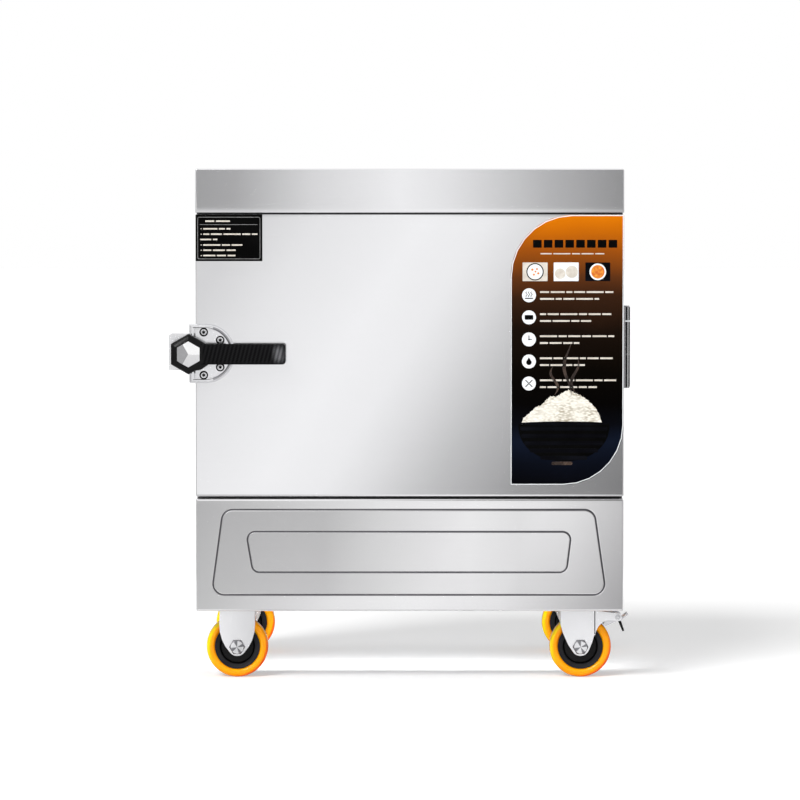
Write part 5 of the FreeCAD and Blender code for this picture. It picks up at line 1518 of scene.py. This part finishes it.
@dataclass
class Prints:
    """The film on the door and the notice plate: plain shapes without any lettering."""

    shop: Shop
    base: float = 259.9 * MM
    film: float = 260.25 * MM
    ink: float = 260.38 * MM
    over: float = 260.5 * MM
    shells: dict[str, Shell] = field(default_factory=dict)

    def shell(self, name: str) -> Shell:
        """The shell that gathers all marks of one ink."""
        return self.shells.setdefault(name, Shell())

    def mark(self, name: str, points: np.ndarray, over: bool = False) -> None:
        """Adds one mark in an ink, on the film or on another mark."""
        heights = (self.ink - 0.03 * MM, self.over) if over else (self.film - 0.1 * MM, self.ink)
        self.shell(name).flat(points, heights)

    def build(self) -> None:
        """Makes film, plate and marks."""
        layers = ((0.3 * MM, self.film), (0.0, self.film - 0.1 * MM), (0.0, self.base))
        self.notice(layers)
        corners = [pixel(510.3, 484.3), pixel(622.8, 484.3), pixel(622.8, 215.1), pixel(510.3, 215.1)]
        radii = (1 * MM, 98 * MM, 1 * MM, 101 * MM)
        film = Shell().plate(corners, radii, layers, steps=24)
        self.shop.add(film, "door_film", FILM, "door_outer_skin")
        edge = Shell().band(corners, radii, (0.25 * MM, 1.5 * MM), (self.film - 0.05 * MM, self.film + 0.06 * MM))
        self.shop.add(edge, "door_film_edge", FILM_PALE, "door_outer_skin")
        self.dishes()
        self.icons()
        self.bowl()
        inks = {"pale": FILM_PALE, "cream": FILM_CREAM, "amber": FILM_AMBER, "slate": FILM_SLATE}
        inks |= {"haze": FILM_HAZE, "grains": GRAINS, "dark": FILM_BLACK}
        for name, shell in sorted(self.shells.items()):
            self.shop.add(shell, "door_film_" + name, inks[name], "door_outer_skin")

    def notice(self, layers: Sequence[Layer]) -> None:
        """A black plate with a thin grey frame and rows of plain bars.

        Args:
            layers: Insets and heights of the plate, as for Shell.plate.
        """
        box = rectangle(pixel(196.4, 261.0), pixel(262.9, 214.6))
        self.shop.add(Shell().plate(box, 1 * MM, layers), "notice_plate", FILM_BLACK, "door_outer_skin")
        heights = (self.film - 0.05 * MM, self.film + 0.05 * MM)
        frame = Shell().band(rectangle(pixel(198.2, 259.0), pixel(260.8, 217.0)), 3 * MM, (0.0, 0.9 * MM), heights)
        frame.flat(bar(pixel(200.5, 224.6), pixel(258.0, 224.6), 0.8 * MM), heights)
        self.shop.add(frame, "notice_plate_frame", FILM_GREY, "door_outer_skin")
        lines = Shell()
        rows = ((206, 234, 221.2), (204, 231, 228.8), (204, 258, 234.1), (201, 218, 239.4), (204, 243, 244.9))
        for number, (start, end, y) in enumerate((*rows, (204, 240, 250.1), (204, 236, 255.4))):
            for first, last in self.broken(start, end, number):
                lines.flat(bar(pixel(first, y), pixel(last, y), 2.4 * MM), heights)
            if start == 204:
                lines.flat(disc(pixel(202.0, y), 0.9 * MM, 12), heights)
        self.shop.add(lines, "notice_plate_lines", FILM_CREAM, "door_outer_skin")

    def dishes(self) -> None:
        """Three tiles, each with a bowl seen from above, under two broken bars."""
        for number in range(8):
            x = 532.4 + 10.75 * number
            self.mark("dark", outline(rectangle(pixel(x, 247.6), pixel(x + 8.6, 239.8)), 0.8 * MM))
        for first, last in self.broken(540.0, 604.0, 3):
            self.mark("cream", bar(pixel(first, 253.6), pixel(last, 253.6), 1.9 * MM))
        wide, high = 20.4 * MM, 15.2 * MM
        centres = [pixel(x, 271.6) for x in (534.5, 565.5, 597.0)]
        for (u, v), ground in zip(centres, ("cream", "pale", "slate")):
            self.mark(ground, outline(rectangle((u - wide, v - high), (u + wide, v + high)), 1.0 * MM))
        (u, v), second, third = centres
        self.mark("dark", disc((u, v), 14.2 * MM), True)
        self.mark("pale", disc(third, 13.6 * MM), True)
        contents = (
            ("pale", (u, v), 12.4),
            ("amber", third, 11.0),
            ("cream", (second[0] - 9.8 * MM, second[1] - 3 * MM), 8.6),
            ("cream", (second[0] + 9.2 * MM, second[1]), 10.0),
        )
        for ink, centre, radius in contents:
            self.shell(ink).flat(disc(centre, radius * MM), (self.over - 0.02 * MM, self.over + 0.1 * MM))
        for a, b, r in ((-4.5, 3.5, 1.9), (3.0, 4.4, 1.6), (5.2, -2.6, 1.8), (-2.0, -4.6, 1.7), (0.6, 0.4, 1.5)):
            dot = disc((u + a * MM, v + b * MM), r * MM, 16)
            self.shell("amber").flat(dot, (self.over, self.over + 0.2 * MM))

    def icons(self) -> None:
        """Five white discs with plain pictures, and bars beside them."""
        lengths = (((0, 79), (0, 60)), ((0, 76), (0, 52)), ((0, 78), (0, 40)), ((0, 74), (0, 46)), ((0, 78), (0, 58)))
        for number, rows in enumerate(lengths):
            u, v = pixel(528.5, 295.0 + 22 * number)
            self.mark("pale", disc((u, v), 11.4 * MM))
            for shape in self.picture(number):
                self.mark("dark", shape * MM + np.array([u, v]), True)
            for row, (start, end) in enumerate(rows):
                x = 539.5 + start * 0.98
                y = 291.8 + 22 * number + 6.8 * row
                for first, last in self.broken(x, x + (end - start) * 0.98, number * 2 + row):
                    self.mark("cream", bar(pixel(first, y), pixel(last, y), 2.8 * MM))

    def broken(self, start: float, end: float, seed: int) -> list[Layer]:
        """Cuts a row into bars of uneven length.

        Args:
            start: Where the row starts.
            end: Where it ends.
            seed: The number of the first length.

        Returns:
            The start and end of each bar.
        """
        parts, place = [], start
        lengths = (9.0, 14.0, 6.0, 11.0, 17.0, 8.0, 12.0)
        number = seed
        while place < end - 3:
            length = min(lengths[number % len(lengths)], end - place)
            parts.append((place, place + length))
            place += length + 1.6
            number += 1
        return parts

    def picture(self, number: int) -> list[np.ndarray]:
        """The dark shapes of one icon.

        Args:
            number: The icon, from the top.

        Returns:
            Outlines in millimetres about the disc's middle.
        """
        if number == 0:  # steam over a line
            waves = []
            for x in (-4.0, 0.0, 4.0):
                z = np.linspace(-2.5, 6.0, 12)
                sway = x + 1.1 * np.sin(z * 1.1)
                waves.append(np.concatenate([np.stack([sway + 0.6, z], 1), np.stack([sway - 0.6, z], 1)[::-1]]))
            return waves + [bar((-6.5, -5.0), (6.5, -5.0), 1.6)]
        if number == 1:  # tray
            return [outline(rectangle((-7.0, -3.8), (7.0, 3.8)), 1.2)]
        if number == 2:  # clock hands
            return [bar((0.0, -0.6), (0.0, 6.5), 1.4), bar((-0.6, 0.0), (4.6, 0.0), 1.4), disc((0.0, 0.0), 1.3, 16)]
        if number == 3:  # drop
            angle = np.linspace(math.radians(-215), math.radians(35), 20)
            round_part = np.stack([4.4 * np.cos(angle), -1.6 + 4.4 * np.sin(angle)], 1)
            return [np.concatenate([round_part, [[0.0, 7.0]]])]
        strokes = (((-5.6, -5.6), (5.6, 5.6)), ((0.9, -0.9), (5.6, -5.6)), ((-5.6, 5.6), (-0.9, 0.9)))
        return [bar(start, end, 1.5) for start, end in strokes]

    def bowl(self) -> None:
        """A ribbed bowl heaped with grains, with steam over it."""
        u, v = pixel(563.5, 423.0)
        wide, deep, power = 74.5, 62, 0.85
        turn = np.linspace(math.pi, 2 * math.pi, 48)
        round_part = np.stack([wide * np.cos(turn), deep * np.sign(np.sin(turn)) * np.abs(np.sin(turn)) ** power], 1)
        self.mark("dark", round_part * MM + np.array([u, v]))
        for number in range(5):
            low = -12.0 * number - 5.0
            half = wide * math.cos(math.asin((min(-low, deep - 1.0) / deep) ** (1 / power))) - 3.0
            strip = outline(rectangle((u - half * MM, v + (low - 6.5) * MM), (u + half * MM, v + low * MM)), 3.0 * MM)
            if half > 34:
                self.mark("slate", strip, True)
        lip = full_turn(64)
        self.mark("slate", np.stack([75 * np.cos(lip), 3.4 * np.sin(lip)], 1) * MM + np.array([u, v]), True)
        foot = outline(rectangle((u - 20 * MM, v - 68 * MM), (u + 14 * MM, v - 62.5 * MM)), 2.4 * MM)
        self.mark("haze", foot)
        heap = (
            (521, 424), (523, 418), (530, 412), (536, 406.5), (541, 405), (546, 399.5), (550, 396), (556, 396.5),
            (562, 392.5), (568, 389.5), (574, 392.5), (580, 395), (586, 399), (591, 403.5), (596, 409), (599, 415),
            (602, 424),
        )  # fmt: skip
        across, down = np.array(heap, float).T
        x = np.linspace(across[0], across[-1], 140)
        z = np.interp(x, across, down) - 0.9 * np.abs(np.sin(x * 1.9)) - 0.8 * np.abs(np.sin(x * 0.83 + 1)) + 0.8
        points = [pixel(a, min(b, 424.0)) for a, b in zip(x, z)]
        self.mark("grains", np.array(points)[::-1])
        for shift, height, start in ((-16, 48, 0.0), (6, 86, 1.4), (18, 60, 2.6)):
            t = np.linspace(0, 1, 24)
            sway = shift + 6 * np.sin(t * 6 + start)
            half = 2.6 * np.sin(math.pi * t) + 0.15
            rise = 46 + height * t
            sides_of = [np.stack([sway + half, rise], 1), np.stack([sway - half, rise], 1)[::-1]]
            self.mark("haze", np.concatenate(sides_of) * MM + np.array([u, v]))


# ---------------------------------------------------------------- latch


@dataclass
class Latch:
    """The lever latch on the door: base plate, screws, hexagonal hub with its insert, and arm."""

    shop: Shop
    x: float = -360.3 * MM
    z: float = 536.4 * MM

    def build(self) -> None:
        """Makes all pieces of the latch."""
        self.base_plate()
        self.screws()
        self.hub()
        self.arm()
        self.gem()

    def base_plate(self) -> Part:
        """The D shaped plate with a raised rim round a shallow channel, and the boss under the hub."""
        low, high = (self.x, self.z - 48.6 * MM), (-285.6 * MM, self.z + 48.6 * MM)
        layers = (
            (12.0, 268.9), (10.4, 268.9), (9.6, 268.75), (8.9, 268.2), (8.2, 267.5), (7.4, 267.2), (6.7, 267.3),
            (6.0, 267.8), (5.2, 268.1), (4.2, 268.0), (2.8, 267.3), (1.6, 266.2), (0.7, 264.6), (0.15, 262.6),
            (0.0, 260.6), (0.3, 259.9), (3.0, 259.9),
        )  # fmt: skip
        shell = Shell().plate(
            rectangle(low, high), (2 * MM, 48.1 * MM, 48.1 * MM, 2 * MM), mm(layers), steps=28
        )
        boss = [(2.0, -269.8), (13.6, -269.8), (14.4, -269.0), (14.4, -259.9), (2.0, -259.9)]
        shell.lathe(mm(boss), (self.x, 0, self.z), "y", 64)

        rounded = ring((high[0] - 48.6 * MM, self.z), 41.3, 46.4)

        def rim(middle: np.ndarray) -> np.ndarray:
            """Faces of the raised rim's round part, which take painted shade."""
            return rounded(middle) & (middle[:, 0] > high[0] - 36 * MM)

        # Painted shade: the rounded right side of the rim is darker.
        piece = tint(shell.piece("latch_plate", CHROME.build(), 40), GROOVE_LIGHT, rim)
        return self.shop.put(piece, "latch_base", "latch_base")

    def screws(self) -> Part:
        """Four screws with a star recess, each in a dark ring on the plate; ring and recess are painted shade."""
        places = [(23.9, 35.0), (50.8, 22.0), (50.8, -22.0), (23.9, -35.0)]
        centres = np.array([(self.x + a * MM, self.z + b * MM) for a, b in places])
        star = (2.7 + 0.8 * np.cos(6 * full_turn(48))) * MM
        head = [(4.2 * MM, -270.1), (4.8 * MM, -269.85), (5.1 * MM, -269.4), (5.1 * MM, -268.6)]
        shell = Shell()
        for u, v in centres:
            profile = [(0.1 * MM, -269.1 * MM), (star * 0.92, -269.1 * MM), (star, -270.0 * MM)]
            profile += [(r, a * MM) for r, a in head]
            shell.lathe(profile, (u, 0, v), "y", 48)
            shadow = [(7.2, -268.7), (7.0, -269.1), (5.0, -269.1), (5.0, -268.7), (7.2, -268.7)]
            shell.lathe(mm(shadow), (u, 0, v), "y", 48, (False, False))

        def dark(middle: np.ndarray) -> np.ndarray:
            """Faces of the rings round the screws and of their recesses: painted shade."""
            away = np.linalg.norm(middle[:, None, (0, 2)] - centres, axis=2).min(1)
            return (away > 5.15 * MM) | ((away < 3.4 * MM) & (middle[:, 1] > -269.9 * MM))

        # Painted shade: the rings round the screws and the recesses are black.
        piece = tint(shell.piece("latch_screw_heads", BOLT_STEEL.build()), FILM_BLACK, dark)
        return self.shop.put(piece, "latch_screws", "latch_screws")

    def hub(self) -> Part:
        """The hub: a hexagon with wide sloping facets and a seat for the insert, and the neck to the arm."""
        shape = hexagon((self.x, self.z), 28.8 * MM)
        layers = (
            (10.1, 293.0), (10.1, 296.3), (9.7, 296.85), (9.0, 297.0), (8.3, 296.8), (1.9, 292.3),
            (0.9, 291.4), (0.2, 290.2), (0.0, 288.8), (0.0, 271.0), (0.7, 270.1), (3.0, 270.1),
        )  # fmt: skip
        shell = Shell().plate(shape, 2.2 * MM, mm(layers), steps=6)
        neck = [(-350.0, 509.5), (-341.0, 510.5), (-327.0, 519.8), (-327.0, 526.0), (-350.0, 526.0)]
        corners = mm(neck)
        rounded = [(3.0, 292.6), (1.6, 292.6), (0.5, 292.1), (0.0, 291.0), (0.0, 284.6), (0.6, 284.0)]
        shell.plate(corners, (1 * MM, 4 * MM, 4 * MM, 1 * MM, 1 * MM), mm(rounded))
        return self.shop.add(shell, "latch_hub", HUB_BLACK, "latch_lever", "latch_lever", sharp=30)

    def arm(self) -> Part:
        """The arm: a flat bar with rounded edges whose outer end leans back a little."""
        end, half, thick = -202.8 * MM, 16.8 * MM, 11.0 * MM
        near = np.array([0.0, 0.25, 0.7, 1.4, 2.3, 3.4, 4.6, 8.0, 14.0, 20.0, 26.0, 32.0, 60.0, 100.0, 140.0]) * MM
        rings = []
        for away in near:
            corner = math.sqrt(max(0.0, 1 - (1 - min(away / (4.6 * MM), 1.0)) ** 2))
            edge = math.sqrt(max(0.0, 1 - (1 - min(away / (2.4 * MM), 1.0)) ** 2))
            high = half - 4.6 * MM * (1 - corner)
            back = 2.4 * MM * (1 - edge)
            lean = 1.6 * MM * max(0.0, 1 - away / (26 * MM)) ** 2
            low_y, high_y = -295 * MM + back + lean, -295 * MM + thick - back * 0.4
            box = rectangle((low_y, self.z - high), (high_y, self.z + high))
            rings.append(outline(box, 2.4 * MM * max(edge, 0.3), 0.0, 6))
        piece = Shell().loft(end - near, rings).piece("latch_arm", WOVEN.build(), 40)
        return self.shop.put(piece, "latch_lever")

    def gem(self) -> Part:
        """The insert: three planes that meet in a point, on a hexagonal block."""
        flat, peak, slope, foot = 18.5 * MM, 302 * MM, 0.24, 293.1 * MM
        angles = np.radians([0, 30, 90, 120, 150, 210, 240, 270, 330])
        reach = np.where(np.isin(np.degrees(angles).round() % 120, 0), flat, flat / math.cos(math.radians(30)))
        around = np.stack([reach * np.cos(angles), reach * np.sin(angles)], 1)
        ways = np.radians([60, 180, 300])
        fall = (around @ np.stack([np.cos(ways), np.sin(ways)])).max(1)
        top = to_space(self.x + around[:, 0], self.z + around[:, 1], peak - slope * fall, Facing.FRONT)
        low = to_space(self.x + around[:, 0], self.z + around[:, 1], foot, Facing.FRONT)
        tip = np.array([[self.x, -peak, self.z]])
        shell = Shell()
        shell.points, shell.count = [np.concatenate([top, low, tip])], 19
        shell.faces = [[18, 0, 1, 2, 3], [18, 3, 4, 5, 6], [18, 6, 7, 8, 0], list(range(17, 8, -1))]
        shell.faces += [[n, n + 9, (n + 1) % 9 + 9, (n + 1) % 9] for n in range(9)]
        piece = shell.piece("latch_insert_face", GEM.build(), 5)

        def turned(low: float, high: float) -> Chooser:
            """Chooses faces of the top between two angles in degrees."""

            def chosen(middle: np.ndarray) -> np.ndarray:
                """Whether each centre lies there."""
                angle = np.degrees(np.arctan2(middle[:, 2] - self.z, middle[:, 0] - self.x)) % 360
                return (angle > low) & (angle < high) & (middle[:, 1] < -296 * MM)

            return chosen

        # Painted shade on the left facet, painted highlight on the upper right one.
        tint(tint(piece, GEM_SHADE, turned(121, 239)), GEM_HIGHLIGHT, turned(1, 119))
        bevel(piece, 0.45 * MM, 3, 8)
        return self.shop.put(piece, "latch_gem", "latch_gem")


# ---------------------------------------------------------------- castors


@dataclass(frozen=True)
class TreadFinish(Finish):
    """A clear orange tread with painted light: a yellow painted highlight on one side of its shoulders, painted red
    shade on the other side.
    """

    lit: Rgb = srgb(255, 216, 14)
    rim: Rgb = srgb(250, 78, 0)

    def colour_of(self, graph: Graph, place: Socket, grain: Socket) -> Socket:
        """The plain colour, mixed with the two others by the way that the surface faces: painted highlight and
        painted shade.
        """
        plain = super().colour_of(graph, place, grain)
        facing = graph.parts(graph.add("NewGeometry").outputs["Normal"])
        upward, rightward = graph.math("MULTIPLY", facing[2], 0.6), graph.math("MULTIPLY", facing[0], 0.8)
        toward = graph.math("SUBTRACT", upward, rightward)
        shoulder = graph.spread(graph.math("ABSOLUTE", facing[1]), 0.08, 0.45)
        toward = graph.math("MULTIPLY", toward, shoulder)
        # Painted highlight where a shoulder faces up and left, painted shade where it faces down and right.
        yellow = graph.blend(graph.spread(toward, 0.02, 0.55), plain, self.lit)
        return graph.blend(graph.spread(toward, -0.25, -0.85), yellow, self.rim)


TREAD = TreadFinish(
    "orange_polyurethane", srgb(255, 166, 10), srgb(255, 158, 6), 0.0, (0.14, 0.2), 40.0, (1, 1, 1), 500.0,
    0.00004, 0.08, soft=0.25, level=0.22,
)  # fmt: skip
# A milder painted highlight and painted shade for the tread's inner faces.
TREAD_INSIDE = like(TREAD, "orange_polyurethane_inside", lit=srgb(255, 168, 10), rim=srgb(255, 138, 2))
SLOT_FINISHES["tread"] = TREAD


@dataclass
class Castors:
    """Four castors with orange treads; the left pair is rigid, the right pair swivels."""

    shop: Shop
    left: float = -284.4 * MM
    right: float = 281.5 * MM
    depth: float = 200 * MM
    axle: float = 50.8 * MM

    def build(self) -> None:
        """Makes wheels, axle bolts and small details; forks and plates get rounded edges with the other nodes."""
        for side, x in (("left", self.left), ("right", self.right)):
            for end, y in (("front", -self.depth), ("back", self.depth)):
                self.wheel(f"{end}_{side}", (x, y, self.axle))
        front, back = -self.depth, self.depth
        self.bolts("rigid_castor_bolts", "rigid_castor_axles", [(self.left, front), (self.left, back)])
        self.bolts("swivel_bolt_front", "swivel_axle_front", [(self.right, front)])
        self.bolts("swivel_bolt_back", "swivel_axle_back", [(self.right, back)])
        self.details()

    def details(self) -> None:
        """A strip of painted shade at each swivel fork's straight edge, and the rivet heads of the brake's pin."""
        for end, y in (("front", self.depth), ("back", -self.depth)):
            # Painted shade: a thin dark strip on the fork's straight edge.
            shade_strip = Shell()
            points = outline(rectangle((304.1 * MM, 71.5 * MM), (305.9 * MM, 112.6 * MM)), 0.8 * MM)
            shade_strip.flat(points, (y + 21.9 * MM, y + 22.06 * MM))
            self.shop.add(shade_strip, f"fork_shade_strip_{end}", GROOVE, f"swivel_fork_{end}")
        head = (
            (0.2, 24.2), (1.6, 24.1), (1.9, 23.7), (2.6, 23.7), (3.0, 24.2), (4.0, 23.9), (4.5, 23.0), (4.5, 22.1),
            (0.2, 22.1),
        )  # fmt: skip
        rivets = Shell()
        pin = (343 * MM, 99.8 * MM)
        for side in (-1, 1):
            profile = [(r * MM, side * a * MM) for r, a in head]
            rivets.lathe(profile, (pin[0], -self.depth, pin[1]), "y", 32)
        # Painted shade: each rivet head's groove and its rounded edge are black.
        piece = tint(rivets.piece("brake_rivet_heads", BOLT_STEEL.build()), CORE, ring(pin, 1.7, 2.9), ring(pin, 4.1))
        self.shop.put(piece, "brake_pedal_front")

    def closed(self, half: Sequence[Layer]) -> list[Layer]:
        """A ring's section from one half of it: the half, its mirror image and the first point again."""
        scaled = mm(half)
        return scaled + [(radius, -along) for radius, along in reversed(scaled)] + scaled[:1]

    def wheel(self, name: str, centre: tuple[float, float, float]) -> None:
        """A tread with rounded shoulders on a core with hub, web, groove and a dark blue edge.

        Args:
            name: The wheel's end and side.
            centre: Its middle.
        """
        turn = np.radians(np.linspace(142, 0, 17))
        shoulder = [(43.4 + 7.4 * math.cos(a), 6.6 + 8.4 * math.sin(a)) for a in turn]
        tread = [(36.95, 11.2)] + shoulder + [(50.8, 3.0)]
        shell = Shell().lathe(self.closed(tread), centre, "y", 96, (False, False))
        piece = tint(shell.piece(f"tread_{name}", TREAD.build(), 50), TREAD_INSIDE, ring(centre, -1, 43.3))
        self.shop.put(piece, f"wheel_tread_{name}", f"wheel_tread_{name}")
        core = [
            (5.2, 17.6), (5.6, 18.0), (10.6, 18.0), (11.3, 17.4), (11.7, 13.2), (12.7, 12.2), (25.4, 12.0),
            (26.2, 11.4), (26.5, 9.4), (28.5, 9.4), (28.8, 11.8), (29.6, 13.0), (34.6, 13.8), (35.2, 14.2),
            (36.2, 14.3), (36.88, 13.8),
        ]  # fmt: skip
        shell = Shell().lathe(self.closed(core), centre, "y", 96, (False, False))
        piece = tint(shell.piece(f"core_{name}", CORE.build(), 35), CORE_EDGE, ring(centre, 35.0))
        # Painted shade: the groove in the core is black.
        tint(tint(piece, FILM_BLACK, ring(centre, 26.3, 28.7)), CORE_DARK, ring(centre, -1, 26.3))
        self.shop.put(piece, f"wheel_core_{name}", f"wheel_core_{name}")

    def bolts(self, name: str, node: str, places: Sequence[Layer]) -> Part:
        """Axle bolts: a chamfered hexagon head with raised strokes, the shank and a nut.

        Args:
            name: The piece's name.
            node: The node that it stands for.
            places: X and Y of each bolt.

        Returns:
            The piece.
        """
        hexa = polar_hexagon(11.2) * MM
        cut = np.minimum(hexa, 12.0 * MM)
        shell = Shell()
        for x, y in places:
            centre = (x, y, self.axle)
            head = [(0.2, -28.1), (8.6, -28.1), (9.9, -27.95), (10.6, -27.7)]
            profile = mm(head) + [(cut, -27.0 * MM), (hexa, -26.4 * MM)]
            profile += [(hexa, -22.5 * MM), (hexa - 0.4 * MM, -22.0 * MM)] + mm([(6.0, -22.0), (6.0, 22.0)])
            profile += [(hexa - 0.4 * MM, 22.0 * MM), (hexa, 22.5 * MM), (hexa, 26.2 * MM), (cut, 26.9 * MM)]
            profile += mm(((10.6, 27.5), (6.4, 27.5), (6.0, 27.6), (6.0, 28.2), (5.4, 28.6)))
            shell.lathe(profile, centre, "y", 48)
            for angle in np.arange(0, 360, 60):
                shell.flat(ray((x, self.axle), angle, (4.6, 9.2), 1.3), (-y + 28.0 * MM, -y + 28.55 * MM))
        # Painted reflection: the bolt heads' colour has dark rays about the axle.
        turned = like(
            BOLT_STEEL, "painted_rays_" + name, (240, 240, 242), (232, 232, 235),
            kind=PaintedRaysFinish, centre=(places[0][0], self.axle), dark=srgb(132, 132, 136),
        )  # fmt: skip
        # Painted shade: the edge of each bolt head and its middle take the dark groove finish.
        first = (places[0][0], self.axle)
        piece = tint(shell.piece(name, turned.build(), 30), GROOVE, ring(first, 10.7), ring(first, -1, 2.0))
        return self.shop.put(piece, node, node)


# ---------------------------------------------------------------- services at the back


@dataclass
class Services:
    """The switch knob, its marks and the screws of the control box's cover."""

    shop: Shop
    x: float = 205 * MM
    z: float = 565 * MM
    cover: float = 331.2 * MM

    def build(self) -> None:
        """Makes the small pieces at the back."""
        angle = full_turn(144)
        flute = (15.3 + 0.55 * np.cos(18 * angle)) * MM
        first = [(3.0, 319.3), (3.0, 331.5), (18.6, 331.5), (19.0, 332.0), (19.0, 333.6), (18.4, 334.6)]
        last = [(13.9, 348.6), (12.6, 349.1), (11.6, 348.4), (10.8, 348.1), (0.2, 348.1)]
        profile = mm(first) + [(flute, 336.2 * MM), (flute - 0.4 * MM, 346.8 * MM)]
        profile += mm(last)
        knob = Shell().lathe(profile, (self.x, 0, self.z), "y", 144)
        self.shop.add(knob, "switch_knob_grip", BLACK, "switch_knob", "switch_knob", sharp=40)
        line = bar((self.x, self.z + 3 * MM), (self.x, self.z + 10.4 * MM), 1.8 * MM)
        pointer = Shell().flat(line, (348.0 * MM, 348.4 * MM), Facing.BACK)
        self.shop.add(pointer, "switch_knob_pointer", FILM_PALE, "switch_knob")
        marks = Shell()
        for turn in (0, 45, 90):
            points = ray((self.x, self.z), 90 - turn, (22, 27), 1.6)
            marks.flat(points, (self.cover - 0.05 * MM, self.cover + 0.1 * MM), Facing.BACK)
        self.shop.add(marks, "switch_marks", FILM_BLACK, "control_box_cover")
        screws = Shell()
        for x in (68.5 * MM, 251.5 * MM):
            for z in (438.5 * MM, 631.5 * MM):
                head = [(0.3, 332.2), (1.6, 332.25), (1.7, 333.2), (2.6, 333.1), (3.4, 332.5), (3.7, 331.1)]
                screws.lathe(mm(head), (x, 0, z), "y", 32)
        self.shop.add(screws, "cover_screws", BOLT_STEEL, "control_box_cover")


@dataclass
class Rest:
    """Everything else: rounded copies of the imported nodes."""

    shop: Shop
    hinge: Layer = (356.3 * MM, -213.0 * MM)

    def build(self) -> None:
        """Rounds the edges of each node that still shows; very fine nodes are only shaded smooth."""
        plain = ("castor_bolts", "heating_elements", "steam_baffle", "float_arm", "cable_gland")
        widths = {"cabinet_insulation": 1.0, "door_insulation": 1.0, "door_gasket": 2.0, "contactor": 1.0}
        for node in sorted(self.shop.kept):
            width = 0.0 if node in plain else widths.get(node, 0.35)
            piece = self.shop.softened(node, SLOT_FINISHES[self.shop.slot_of[node]], width * MM)
            if node.startswith("hinge_leaf"):
                # Painted reflection: the leaf's barrel faces take the striped finish.
                tint(piece, BARREL, self.in_barrel)
            elif node == "brake_pedal_front":
                tint(piece, CORE_DARK, self.in_pad)
        self.washers()

    def in_barrel(self, middle: np.ndarray) -> np.ndarray:
        """Faces of a hinge leaf that lie on its barrel."""
        return (np.abs(middle[:, 1] - self.hinge[1]) < 7 * MM) & (middle[:, 0] > 350.25 * MM)

    def in_pad(self, middle: np.ndarray) -> np.ndarray:
        """Faces of the brake pedal's lower arm."""
        return middle[:, 2] < 93 * MM

    def washers(self) -> None:
        """The pale rings between the hinge's knuckles."""
        for name, z, half in (("upper", 588.0, 1.3), ("lower", 533.5, 0.5)):
            profile = [(5.6, z - half), (6.12, z - half), (6.12, z + half), (5.6, z + half), (5.6, z - half)]
            washer = Shell().lathe(mm(profile), (*self.hinge, 0), "z", 48, (False, False))
            finish = FILM_PALE if name == "upper" else HINGE_STEEL
            self.shop.add(washer, f"hinge_ring_{name}", finish, "hinge_leaf_cabinet")


MAKERS = (Cabinet, Prints, Latch, Castors, Services, Rest)


# ---------------------------------------------------------------- whole scene


def main() -> None:
    """Loads the frame, dresses it, adds the pieces and the studio."""
    logging.basicConfig(level=logging.INFO, format="%(name)s: %(message)s")
    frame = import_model()
    shop = Shop(frame)
    for maker in MAKERS:
        maker(shop).build()
    shop.dress()
    Studio().build()
    bpy.context.scene.view_settings.view_transform = "Standard"


if __name__ == "__main__":
    main()
